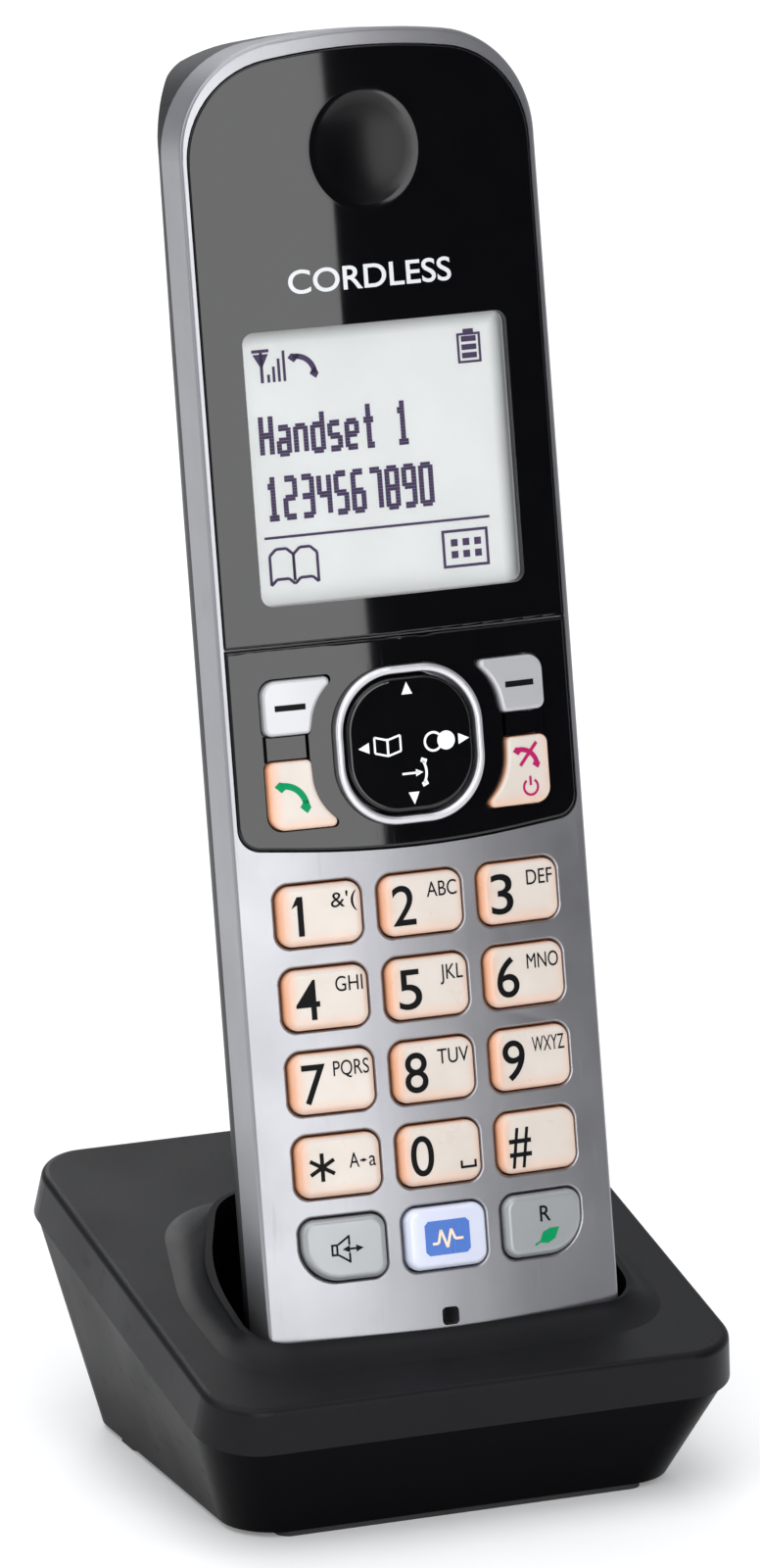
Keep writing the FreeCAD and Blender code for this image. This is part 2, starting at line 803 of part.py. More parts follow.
def make_navigator_ring():
    """The satin ring about the navigator: a tube whose front edge is rounded."""
    body = new_body("navigator_ring")
    rise = dim("ring_rise")
    front_pad(body, "tube", [navigator_outline(dim("ring_radius")), navigator_outline(dim("ring_inner"))],
              -rise, dim("web_front") - 0.05)
    front = -DIMENSIONS["ring_rise"]
    round_edges(body, "front", 0.4, lambda edge: abs(middle_of(edge).y - front) < 1e-4)
    return finish_piece(body, HANDSET)


# ---- handset: keys --------------------------------------------------------------------------------


def make_key(label, shape, flange, rise, soft_edge):
    """A key cap: its shank goes through the cover, and its flange, behind, keeps it in."""
    body = new_body(label)
    back = dim("web_back") + 0.1
    front_pad(body, "cap", [shape], -3, back)
    crown_cut(body, rise)
    front_pad(body, "flange", [flange], back, back + KEY_FLANGE_THICK)
    top = as_size(rise).number
    round_edges(body, "edge", soft_edge, lambda edge: on_crown(edge, top))
    return finish_piece(body, HANDSET)


def make_keys():
    gap = dim("key_gap")
    flange = dim("key_gap") * 1.8
    rise = dim("key_rise")
    for name, column, row_up in NUMBER_KEYS:
        make_key(name, number_key(column, row_up, -gap), number_key(column, row_up, flange), rise,
                 KEY_SOFT_EDGE)
    for name, column in FOOT_KEYS:
        make_key(name, foot_key(column, -gap), foot_key(column, flange), rise, KEY_SOFT_EDGE)
    for side, word in ((-1, "left"), (1, "right")):
        make_key(f"soft_key_{word}", soft_key(side, -gap), soft_key(side, flange), rise,
                 SIDE_KEY_SOFT_EDGE)
    for side, name in ((-1, "talk_key"), (1, "off_key")):
        make_key(name, call_key(side, -gap), call_key(side, flange), rise, SIDE_KEY_SOFT_EDGE)


def make_navigator():
    """The rocking disc, and the small cross piece under it that it rocks on."""
    middle = dim("ring_height")
    inner = dim("ring_inner")
    body = new_body("navigator_key")
    front_pad(body, "disc", [navigator_outline(inner - 0.35)], -dim("ring_rise") + 0.25, 3.4)
    front = -DIMENSIONS["ring_rise"] + 0.25
    round_edges(body, "edge", 0.7, lambda edge: abs(middle_of(edge).y - front) < 1e-4)
    front_pocket(body, "pivot_seat", [rectangle(0, middle, 5.2, 5.2, 0)], 1.9, 4)
    finish_piece(body, HANDSET)
    core = new_body("navigator_core")
    front_pad(core, "block", [rectangle(0, middle, 4.0, 4.0, 0.3)], 2.3, 5.4)
    finish_piece(core, HANDSET)


# ---- handset: rear case and battery cover ---------------------------------------------------------


def hull_section(depth, inset, flank):
    """Half-round back of the handset from above: sides that turn in, and a gently crowned back."""
    inset = as_size(inset)
    depth = as_size(depth) - inset
    half = width / 2 - inset
    start = dim("band_back")
    lean = tangent_of(as_size(flank))
    corner = as_size(0.19) * (depth - start)
    back_slope = tangent_of(as_size(6.0))
    turn_y = start + corner * 0.45
    back_apex = depth + 0.4
    back_x = (half - lean * (back_apex - turn_y)) / (1 - lean * back_slope)
    back_y = back_apex - back_x * back_slope
    return [
        (-half, start, 0),
        (half, start, 0),
        (half, turn_y, corner),
        (back_x, back_y, (depth - start) * 0.38),
        (as_size(0), back_apex, 70.0),
        (-back_x, back_y, (depth - start) * 0.38),
        (-half, turn_y, corner),
    ]


def make_hull(label, inset):
    """The rear case's solid, or the space inside it: full depth below, thinner towards the head."""
    inset = as_size(inset)
    body = new_body(label)
    low = inset
    high = length - inset
    start = dim("taper_start")
    full, thin = dim("body_depth"), dim("head_depth")
    stations = [(low, 0.0), (start, 0.0), (start + (high - start) * 0.35, 0.16),
                (start + (high - start) * 0.7, 0.58), (high, 1.0)]
    sketches = []
    for index, (height, share) in enumerate(stations):
        sketch = new_sketch(body, f"{label}_section_{index + 1}", "XY_Plane", height)
        depth = full - (full - thin) * share
        outline(sketch, hull_section(depth, inset, FLANK_LEAN + FLANK_LEAN_GAIN * share))
        sketches.append(sketch)
    doc.recompute()
    for part, (first, last) in enumerate(((0, 1), (1, 4))):
        loft = body.newObject("PartDesign::AdditiveLoft", f"{label}_loft_{part + 1}")
        loft.Profile = sketches[first]
        loft.Sections = sketches[first + 1:last + 1]
        loft.Ruled = True
        doc.recompute()
    front_outline = handset_outline(inset)
    ring = new_sketch(body, f"{label}_head_outline", "XZ_Plane", -dim("band_back") + 1)
    outline(ring, rectangle(0, length / 2, width * 2, length * 2, 0))
    outline(ring, front_outline)
    doc.recompute()
    before = body.Shape.Volume
    trim = feature(body, "PartDesign::Pocket", f"{label}_head_trim", ring, dim("body_depth") + 5)
    must_change(body, before, False, "head trim")
    roof_radius = dim("roof_radius")
    centre_y, centre_z = dim("band_back") - 0.5, length - roof_radius
    reach = roof_radius - inset
    far, above = dim("body_depth") + 8, length + 2
    roof = [(centre_y, above, 0), (centre_y, centre_z + reach, 0, -reach), (centre_y + reach, centre_z, 0),
            (far, centre_z, 0), (far, above, 0)]
    side_pocket(body, "roof", [roof], -(width / 2 + 2), width / 2 + 2)
    return body


def make_box(name, low, high):
    """A Part::Box between two corners, whose sizes stay tied to the sheet."""
    box = doc.addObject("Part::Box", name)
    low = [as_size(value) for value in low]
    high = [as_size(value) for value in high]
    for prop, first, last in zip(("Length", "Width", "Height"), low, high):
        bind(box, prop, last - first)
    box.Placement.Base = Vector(*[value.number for value in low])
    for axis, value in zip("xyz", low):
        bind(box, f"Placement.Base.{axis}", value)
    return box


def make_rod(name, x, z, radius, near, far):
    """A Part::Cylinder along the depth of the handset."""
    rod = doc.addObject("Part::Cylinder", name)
    bind(rod, "Radius", radius)
    bind(rod, "Height", as_size(far) - near)
    rod.Placement = Placement(Vector(x, as_size(near).number, z), Rotation(Vector(1, 0, 0), -90))
    bind(rod, "Placement.Base.y", near)
    return rod


def make_post(name, x, y, radius, low, high):
    """A Part::Cylinder that stands up."""
    post = doc.addObject("Part::Cylinder", name)
    bind(post, "Radius", radius)
    bind(post, "Height", as_size(high) - low)
    post.Placement = Placement(Vector(x, y, as_size(low).number), Rotation())
    bind(post, "Placement.Base.z", low)
    return post


def combine(kind, name, shapes):
    """A boolean of finished shapes: Part::Cut, Part::MultiFuse or Part::MultiCommon."""
    item = doc.addObject(kind, name)
    if kind == "Part::Cut":
        item.Base, item.Tool = shapes
    else:
        item.Shapes = shapes
    doc.recompute()
    if item.Shape.isNull() or not item.Shape.isValid() or item.Shape.Volume < 1e-3:
        raise RuntimeError(f"{name} is empty or not valid")
    return item


def make_rear_case_and_cover():
    wall = dim("shell_wall")
    outer = make_hull("rear_hull", 0)
    inner = make_hull("rear_space", wall)
    under = make_hull("cover_underside", dim("cover_wall"))
    shell = combine("Part::Cut", "rear_shell", [outer, inner])

    bay_half, bay_floor = dim("bay_half"), dim("bay_floor")
    bay_low, bay_high = dim("bay_low"), dim("bay_high")
    far = dim("body_depth") + 3
    bay_wall = dim("cover_half") + 1.2
    bay_block = make_box("bay_block", (-bay_wall, bay_floor - 1.2, dim("cover_low") - 1.2),
                         (bay_wall, far, dim("cover_high") + 1.2))
    bay_walls = combine("Part::MultiCommon", "bay_walls", [bay_block, outer])
    bay_space = make_box("bay_space", (-bay_half, bay_floor, bay_low), (bay_half, far, bay_high))
    bosses = [make_rod(f"boss_{i + 1}", x, z, SCREW_BOSS_RADIUS, dim("band_back") + 0.2, far)
              for i, (x, z) in enumerate(HANDSET_SCREWS)]
    boss_tubes = combine("Part::MultiFuse", "boss_rods", bosses)
    boss_walls = combine("Part::MultiCommon", "boss_walls", [boss_tubes, outer])
    clearance = 0.2
    cover_half, cover_low, cover_high = dim("cover_half"), dim("cover_low"), dim("cover_high")
    seat_half = cover_half + clearance
    seat_block = make_box("seat_block", (-seat_half, bay_floor + 2, cover_low - clearance),
                          (seat_half, far, cover_high + clearance))
    seat_skin = make_hull("cover_seat", dim("cover_wall") + clearance)
    seat = combine("Part::Cut", "cover_seat_space", [seat_block, seat_skin])
    grille = []
    for i in range(GRILLE_SLOTS):
        slot_half = GRILLE_HALF - abs(i - GRILLE_SLOTS // 2)
        slot_low = GRILLE_LOW + GRILLE_PITCH * i
        grille.append(make_box(f"grille_slot_{i + 1}", (-slot_half, 20, slot_low),
                               (slot_half, far, slot_low + GRILLE_SLOT)))
    contact_seats = []
    for side, word in ((-1, "left"), (1, "right")):
        middle = dim("contact_side") * side
        depth = dim("contact_depth")
        contact_seats.append(make_box(f"contact_seat_{word}", (middle - 2.6, depth - 4.1, -1),
                                      (middle + 2.6, depth + 4.1, 1.0)))
    screw_holes = []
    for i, (x, z) in enumerate(HANDSET_SCREWS):
        screw_holes.append(make_rod(f"screw_hole_{i + 1}", x, z, 1.0, 5, far))
        screw_holes.append(make_rod(f"screw_head_hole_{i + 1}", x, z, 2.1, SCREW_SEAT, far))
    openings = combine("Part::MultiFuse", "case_openings",
                       [bay_space, seat] + grille + contact_seats + screw_holes)
    case_solid = combine("Part::MultiFuse", "case_solid", [shell, bay_walls, boss_walls])
    case = combine("Part::Cut", "rear_case", [case_solid, openings])
    finish_piece(case, HANDSET, "handset_rear_case")

    cover_block = make_box("cover_block", (-cover_half, bay_floor + 2.2, cover_low),
                           (cover_half, far, cover_high))
    cover_skin = combine("Part::Cut", "cover_skin", [outer, under])
    scoop = doc.addObject("Part::Sphere", "cover_scoop")
    bind(scoop, "Radius", SCOOP_RADIUS)
    bind(scoop, "Placement.Base.y", dim("body_depth") + (SCOOP_RADIUS - SCOOP_DEPTH))
    bind(scoop, "Placement.Base.z", cover_high - SCOOP_DROP)
    cover_plate = combine("Part::MultiCommon", "cover_plate", [cover_skin, cover_block])
    cover = combine("Part::Cut", "cover_with_scoop", [cover_plate, scoop])
    finish_piece(cover, HANDSET, "battery_cover")


# ---- handset: inside ------------------------------------------------------------------------------


def make_inside():
    board_front = dim("board_front")
    board_back = board_front + dim("board_thick")
    window_middle = (dim("window_low") + dim("window_high")) / 2
    window_height = dim("window_high") - dim("window_low")

    module = new_body("lcd_module")
    front_pad(module, "glass", [rectangle(0, window_middle, dim("window_width") + 3, window_height + 3, 0.5)],
              dim("web_front") + 0.1, 5.0)
    finish_piece(module, HANDSET)
    light = new_body("lcd_backlight")
    front_pad(light, "guide", [rectangle(0, window_middle, dim("window_width") + 3, window_height + 3, 0.5)],
              5.1, board_front - 0.1)
    finish_piece(light, HANDSET)

    mat = new_body("keypad_mat")
    mat_front = dim("mat_front")
    half = dim("side_key_edge")
    front_pad(mat, "sheet", [rectangle(0, 52.2, half * 2, 79.6, 3)], mat_front, mat_front + dim("mat_thick"))
    domes = []
    for name, column, row_up in NUMBER_KEYS:
        domes.append((dim("column_pitch") * column, dim("low_row") + dim("row_pitch") * row_up, 2.0))
    front_pad(mat, "domes", domes, mat_front - 0.2, mat_front)
    finish_piece(mat, HANDSET)

    board = new_body("main_board")
    board_outline = rectangle(0, 81.0, width - 6.4, 148.0, 4)
    front_pad(board, "board", [board_outline], board_front, board_back)
    chip = rectangle(4, 120, 9, 9, 0)
    front_pad(board, "radio_chip", [chip], board_back, board_back + 1.2)
    front_pad(board, "memory_chip", [rectangle(-10, 118, 6, 8, 0)], board_back, board_back + 1.0)
    finish_piece(board, HANDSET)

    make_disc("earpiece_speaker", 0, dim("dimple_height"), EARPIECE_RADIUS,
              dim("web_back") + 0.1, board_front - 0.1)
    make_disc("loudspeaker", 0, LOUDSPEAKER_HEIGHT, LOUDSPEAKER_RADIUS, board_back + 2.0, board_back + 6.5)
    make_disc("microphone", 0, MICROPHONE_HEIGHT, 2.0, dim("web_back") + 0.1, 6.4)

    cell_y = dim("bay_floor") + dim("cell_radius") + 0.2
    for side, word in ((-1, "left"), (1, "right")):
        make_cell(f"battery_{word}", (dim("cell_radius") + 0.2) * side, cell_y)
    terminals = new_body("battery_terminals")
    plates = [rectangle((dim("cell_radius") + 0.2) * side, cell_y, BATTERY_PLATE, BATTERY_PLATE, 0)
              for side in (-1, 1)]
    level_pad(terminals, "lower_plates", plates, dim("bay_low") + 0.1, dim("bay_low") + 0.5)
    springs = [((dim("cell_radius") + 0.2) * side, cell_y, 2.6) for side in (-1, 1)]
    level_pad(terminals, "springs", springs, dim("bay_low") + 0.5, dim("cell_foot") - 0.05)
    finish_piece(terminals, HANDSET)
    upper = new_body("battery_contact_plate")
    level_pad(upper, "plate", [rectangle(0, cell_y, 19.0, BATTERY_PLATE, 0)],
              dim("bay_high") - 0.5, dim("bay_high") - 0.1)
    finish_piece(upper, HANDSET)

    for side, word in ((-1, "left"), (1, "right")):
        contact = new_body(f"handset_contact_{word}")
        middle = dim("contact_side") * side
        level_pad(contact, "plate", [rectangle(middle, dim("contact_depth"), 5.0, 8.0, 0.5)], 0.05, 0.95)
        finish_piece(contact, HANDSET)

    screws = new_body("handset_screws")
    for index, (x, z) in enumerate(HANDSET_SCREWS):
        front_pad(screws, f"shank_{index + 1}", [(x, z, 0.9)], board_back + 0.3, SCREW_SEAT + 0.1)
        front_pad(screws, f"head_{index + 1}", [(x, z, 1.9)], SCREW_SEAT + 0.1, SCREW_SEAT + 1.3)
    finish_piece(screws, HANDSET)


def make_disc(label, x, z, radius, near, far):
    body = new_body(label)
    front_pad(body, "can", [(x, z, radius)], near, far)
    return finish_piece(body, HANDSET)


def make_cell(label, x, y):
    """An AAA cell: a can with a small raised cap at its head."""
    body = new_body(label)
    foot = dim("cell_foot")
    top = foot + dim("cell_length")
    level_pad(body, "can", [(x, y, dim("cell_radius"))], foot, top - 0.8)
    level_pad(body, "cap", [(x, y, 1.9)], top - 0.8, top)
    return finish_piece(body, HANDSET)


# ---- charger --------------------------------------------------------------------------------------


def cup_outline(grow, back_share=CUP_BACK_SHARE, back_grow=0.0):
    """The cup seen along the handset: round the handset's section, with room at the sides."""
    grow = as_size(grow)
    half = width / 2 + dim("cup_side") + grow
    front = -dim("cup_front") - grow
    back = dim("body_depth") + dim("cup_back") + grow + back_grow
    turn = (dim("body_depth") + dim("cup_back")) * 0.52
    return [
        (-half, front + 1.2, 5.0 + grow),
        (as_size(0), front - 0.1, 150.0),
        (half, front + 1.2, 5.0 + grow),
        (half, turn, CUP_SIDE_RADIUS),
        (half * back_share, back, 7.0 + grow),
        (-half * back_share, back, 7.0 + grow),
        (-half, turn, CUP_SIDE_RADIUS),
    ]


def where_cup_meets(corners, rise):
    """The leaning cup's outline where it meets a plane that lies rise above the charger's top."""
    slant = dim("lean_angle") + dim("base_slope")
    drop = dim("base_middle") - dim("handset_foot")
    front = dim("handset_front")
    tilt = dim("base_slope")
    along = front * cosine_of(tilt) - drop * sine_of(tilt)
    across = front * sine_of(tilt) + drop * cosine_of(tilt)
    shift = along + tangent_of(slant) * (across + rise)
    return [(corner[0], corner[1] / cosine_of(slant) + shift, corner[2]) for corner in corners]


def make_top_block():
    """The sloping plate with its skirt, and the raised collar round the cup, as one solid."""
    plate = new_body("top_plate")
    skirt, flare = dim("skirt_height"), dim("skirt_flare")
    seam = rectangle(0, 0, dim("base_width") + flare * 2, dim("base_length") + flare * 2,
                     dim("base_corner") + flare)
    sketch = new_sketch(plate, "top_plate_seam_outline", "XY_Plane", -skirt)
    outline(sketch, seam)
    doc.recompute()
    pad = feature(plate, "PartDesign::Pad", "top_plate_block", sketch, skirt)
    bind(pad, "TaperAngle", -TAPER)
    doc.recompute()
    round_edges(plate, "top_edge", 1.0, lambda edge: abs(middle_of(edge).z) < 1e-3)
    plate.Placement = BASE_TOP

    collar = new_body("collar")
    low, high = dim("rim_front"), dim("rim_back")
    middle = (low + high) / 2
    sections = []
    for step in range(COLLAR_STEPS + 1):
        turn = step / COLLAR_STEPS * 90.0
        spread = COLLAR_LIP + (COLLAR_SPREAD - COLLAR_LIP) * (1 - sin(radians(turn)))
        share = 1 - cos(radians(turn))
        level = middle * share - COLLAR_SINK * (1 - share)
        tilt = RIM_TILT * share
        section = new_sketch(collar, f"collar_section_{step + 1}", "XY_Plane", level, tilt)
        lean_out = 1 - share
        shape = cup_outline(spread, CUP_BACK_SHARE + 0.08 * lean_out, 2.6 * lean_out)
        outline(section, where_cup_meets(shape, level))
        sections.append(section)
    doc.recompute()
    loft = collar.newObject("PartDesign::AdditiveLoft", "collar_loft")
    loft.Profile = sections[0]
    loft.Sections = sections[1:]
    loft.Ruled = False
    doc.recompute()
    collar.Placement = BASE_TOP
    return combine("Part::MultiFuse", "top_block", [plate, collar])


def make_base_upper_shell():
    """The charger's top: a hollow sloping block with the cup let into it and two screw posts."""
    block = make_top_block()
    skirt, wall = dim("skirt_height"), dim("base_wall")
    hollow = new_body("plate_hollow")
    level_pad(hollow, "space", [rectangle(0, 0, dim("base_width") - wall * 2, dim("base_length") - wall * 2,
                                          dim("base_corner") - wall)], -skirt - 3, -wall)
    hollow.Placement = BASE_TOP
    roof = combine("Part::Cut", "top_roof", [block, hollow])

    tub = new_body("cup_tub")
    floor = dim("cup_floor")
    level_pad(tub, "tub", [cup_outline(dim("cup_wall"))], floor - wall, 45)
    tub.Placement = HANDSET
    posts = [make_post(f"screw_post_{i + 1}", x, y, POST_RADIUS, POST_FOOT + 0.3, 60)
             for i, (x, y) in enumerate(BASE_SCREWS)]
    below_top = new_body("below_top")
    level_pad(below_top, "space", [rectangle(0, 0, 66, 66, 0)], -60, -wall + 0.6)
    below_top.Placement = BASE_TOP
    inside = combine("Part::MultiFuse", "tub_and_posts", [tub] + posts)
    inside_below = combine("Part::MultiCommon", "tub_and_posts_below", [inside, below_top])

    void = new_body("cup_void")
    level_pad(void, "space", [cup_outline(0)], floor, 80)
    for side, word in ((-1, "left"), (1, "right")):
        slot = rectangle(dim("contact_side") * side, dim("contact_depth"), 3.8, 6.0, 0.5)
        level_pad(void, f"contact_slot_{word}", [slot], floor - wall - 1, floor + 1)
    void.Placement = HANDSET
    pilots = [make_post(f"screw_pilot_{i + 1}", x, y, 1.1, POST_FOOT, POST_FOOT + 9)
              for i, (x, y) in enumerate(BASE_SCREWS)]
    solid = combine("Part::MultiFuse", "upper_shell_solid", [roof, inside_below])
    openings = combine("Part::MultiFuse", "upper_shell_openings", [void] + pilots)
    shell = combine("Part::Cut", "upper_shell", [solid, openings])
    return finish_piece(shell, Placement(), "base_upper_shell")


def lower_outline(inset, seam):
    """The lower shell's outline at the seam under the skirt, or at the foot."""
    inset = as_size(inset)
    if seam:
        grow = (dim("skirt_flare") - dim("seam_step") - inset) * 2
        return rectangle(0, 0, dim("base_width") + grow, dim("base_length") + grow,
                         dim("base_corner") + dim("skirt_flare") - inset)
    return rectangle(0, 0, dim("foot_width") - inset * 2, dim("foot_length") - inset * 2,
                     dim("base_corner") - inset)


def shell_loft(body, kind, name, inset, level, drop):
    """A loft between the level foot outline and the sloping seam outline."""
    tilt = dim("base_slope")
    foot = new_sketch(body, f"{name}_foot_outline", "XY_Plane", level)
    outline(foot, lower_outline(inset, False))
    seam = new_sketch(body, f"{name}_seam_outline", "XY_Plane", dim("base_middle") - drop * cosine_of(tilt),
                      tilt, drop * sine_of(tilt))
    outline(seam, lower_outline(inset, True))
    doc.recompute()
    loft = body.newObject(kind, name)
    loft.Profile = foot
    loft.Sections = [seam]
    loft.Ruled = True
    doc.recompute()
    return loft


def make_base_lower_shell():
    """The charger's bottom: a tray that narrows downwards, with screw bosses and the inlet's window."""
    body = new_body("base_lower_shell")
    level, wall, skirt = dim("foot_level"), dim("base_wall"), dim("skirt_height")
    shell_loft(body, "PartDesign::AdditiveLoft", "tray", 0, level, skirt)
    shell_loft(body, "PartDesign::SubtractiveLoft", "tray_hollow", wall, level + wall, skirt - 0.02)
    bosses = [(x, y, POST_RADIUS) for x, y in BASE_SCREWS]
    level_pad(body, "bosses", bosses, level + wall - 0.5, POST_FOOT)
    level_pocket(body, "screw_holes", [(x, y, 1.3) for x, y in BASE_SCREWS], level - 1, POST_FOOT + 1)
    level_pocket(body, "head_holes", [(x, y, 2.8) for x, y in BASE_SCREWS], level - 1, SCREW_HEAD_TOP)
    inlet = rectangle(0, INLET_HEIGHT, INLET_WIDTH + 0.6, INLET_TALL + 0.6, 0.8)
    front_pocket(body, "inlet_window", [inlet], 22, 45)
    return finish_piece(body, Placement())


def make_base_fittings():
    """The feet, screws, charging contacts, circuit board and power inlet."""
    level = dim("foot_level")
    feet = new_body("rubber_feet")
    rear_pads = [rectangle(side * 26.0, 13.6, 8.0, 6.4, 1.5) for side in (-1, 1)]
    level_pad(feet, "rear_pads", rear_pads, 0, level)
    level_pad(feet, "front_bar", [rectangle(0, -24.6, 50.0, 4.2, 1.8)], 0, level)
    finish_piece(feet, Placement())

    screws = new_body("base_screws")
    level_pad(screws, "heads", [(x, y, 2.5) for x, y in BASE_SCREWS], SCREW_HEAD_TOP - 1.8, SCREW_HEAD_TOP)
    level_pad(screws, "shanks", [(x, y, 1.0) for x, y in BASE_SCREWS], SCREW_HEAD_TOP, POST_FOOT + 8)
    finish_piece(screws, Placement())

    side, depth = dim("contact_side"), dim("contact_depth")
    floor = dim("cup_floor") - dim("base_wall")
    strip_foot = floor - 4.4
    for sign, word in ((-1, "left"), (1, "right")):
        strip = new_body(f"charge_contact_{word}")
        tip = as_size(-0.05)
        outer = [(depth - 2.5, strip_foot, 0), (depth + 2.5, strip_foot, 0), (depth + 2.5, tip, 2.3),
                 (depth - 2.5, tip, 2.3)]
        inner = [(depth - 2.0, strip_foot + 0.5, 0), (depth + 2.0, strip_foot + 0.5, 0),
                 (depth + 2.0, tip - 0.5, 1.8), (depth - 2.0, tip - 0.5, 1.8)]
        side_pad(strip, "strip", [outer, inner], side * sign - 1.5, side * sign + 1.5)
        finish_piece(strip, HANDSET)

    carrier = new_body("contact_carrier")
    level_pad(carrier, "bar", [rectangle(0, depth, 28.0, 9.0, 0.8)], strip_foot - 1.1, strip_foot - 0.05)
    legs = [rectangle(sign * 13.2, depth, 1.6, 9.0, 0.3) for sign in (-1, 1)]
    level_pad(carrier, "legs", legs, strip_foot - 0.05, floor - 0.05)
    finish_piece(carrier, HANDSET)

    board = new_body("charger_board")
    board_low = level + dim("base_wall") + 0.8
    level_pad(board, "board", [rectangle(0, 8.0, 36.0, 34.0, 1.0)], board_low, board_low + 1.6)
    finish_piece(board, Placement())

    inlet = new_body("power_inlet")
    tall, wide = INLET_TALL, INLET_WIDTH
    front_pad(inlet, "block", [rectangle(0, INLET_HEIGHT, wide + 3, tall + 3, 0.6)], 16.0, 26.1)
    front_pocket(inlet, "socket", [rectangle(0, INLET_HEIGHT, wide, tall, 0.5)], 18.0, 30)
    blades = [rectangle(sign * 1.6, INLET_HEIGHT, 0.6, 2.4, 0) for sign in (-1, 1)]
    front_pad(inlet, "blades", blades, 17.5, 19.6)
    finish_piece(inlet, Placement())


def build_all():
    make_front_frame()
    make_display_panel()
    make_function_panel()
    make_display_window()
    make_navigator_ring()
    make_keys()
    make_navigator()
    make_rear_case_and_cover()
    make_inside()
    make_base_upper_shell()
    make_base_lower_shell()
    make_base_fittings()
    doc.recompute()


def check_document():
    """Stops if any object of the document failed, or any sub-part has no sound solid."""
    for item in doc.Objects:
        if "Invalid" in item.State or "Error" in item.State:
            raise RuntimeError(f"{item.Label} is {item.State}")
    for item in pieces:
        shape = item.Shape
        if shape.isNull() or not shape.isValid() or not shape.Solids:
            raise RuntimeError(f"{item.Label} has no valid solid")


def write_pieces():
    os.makedirs("parts", exist_ok=True)
    for item in pieces:
        item.Shape.exportStep(f"parts/{item.Label}.step")


build_all()
check_document()
write_pieces()
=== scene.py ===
import json
from math import atan2, cos, pi, radians, sin

import bpy
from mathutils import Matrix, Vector
from mathutils.bvhtree import BVHTree
from mathutils.geometry import tessellate_polygon


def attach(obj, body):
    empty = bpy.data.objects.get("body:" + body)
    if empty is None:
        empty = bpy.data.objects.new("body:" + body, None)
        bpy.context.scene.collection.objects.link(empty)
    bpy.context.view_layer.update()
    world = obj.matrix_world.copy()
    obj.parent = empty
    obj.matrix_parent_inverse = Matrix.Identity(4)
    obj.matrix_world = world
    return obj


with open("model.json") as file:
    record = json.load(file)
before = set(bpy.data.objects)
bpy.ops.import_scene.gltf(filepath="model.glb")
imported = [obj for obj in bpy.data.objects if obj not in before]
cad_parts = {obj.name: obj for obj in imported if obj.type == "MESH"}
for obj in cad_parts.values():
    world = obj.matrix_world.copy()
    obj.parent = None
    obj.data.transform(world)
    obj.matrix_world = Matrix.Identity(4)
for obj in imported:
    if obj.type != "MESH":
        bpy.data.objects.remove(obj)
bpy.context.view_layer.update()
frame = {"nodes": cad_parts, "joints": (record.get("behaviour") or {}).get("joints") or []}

# A cordless telephone leaning back in its charger.
#
# The CAD nodes keep their shapes and get their finishes here. What is printed on the keys, the
# navigator and the panel is laid on them as thin raised ink, and the display's picture lies on the
# display module, behind its window.
# The handset is described in its own frame: U across it, V up it from its foot, both in
# millimetres, and depth inwards from the middle of its front face.

MM = 0.001
# Places on the handset, in millimetres.
PIVOT_DEPTH = 3.8
NAVIGATOR_V = 81.2
DISH_V = 156.1

joints = {joint["name"]: joint for joint in frame["joints"]}
UP = Vector(joints["handset_lift"]["axis"])
INWARD = Vector(joints["key_5_press"]["axis"])
ACROSS = Vector((1, 0, 0))
FOOT = Vector(joints["navigator_up_down"]["pos_m"]) - (INWARD * PIVOT_DEPTH + UP * NAVIGATOR_V) * MM


def on_handset(u, v, depth):
    """The place of a point of the handset's own frame, in metres."""
    return FOOT + (ACROSS * u + UP * v + INWARD * depth) * MM


# ---- finishes -------------------------------------------------------------------------------------


def tint(red, green, blue):
    """A colour given as it shows on a screen, 0 to 255, as the shader wants it."""
    def linear(value):
        value /= 255
        return value / 12.92 if value <= 0.04045 else ((value + 0.055) / 1.055) ** 2.4
    return (linear(red), linear(green), linear(blue), 1.0)


# Nearly all values of a noise texture lie between these two.
NOISE_LOW = 0.3
NOISE_HIGH = 0.7
# The few highest values of a fine noise, drawn out along the object, are scratches.
SCRATCH_FROM = 0.62
SCRATCH_FULL = 0.72
SCRATCH_STRETCH = (1.0, 0.12, 0.05)
# The sizes of scratches and of patches of colour and gloss on a moulded surface, in millimetres.
SCRATCH_SIZE = 0.5
COLOUR_PATCH = 7.0
GLOSS_PATCH = 16.0
# Where a Mix node that mixes colours takes them and gives the result.
MIX_FIRST, MIX_SECOND, MIX_RESULT = 6, 7, 2


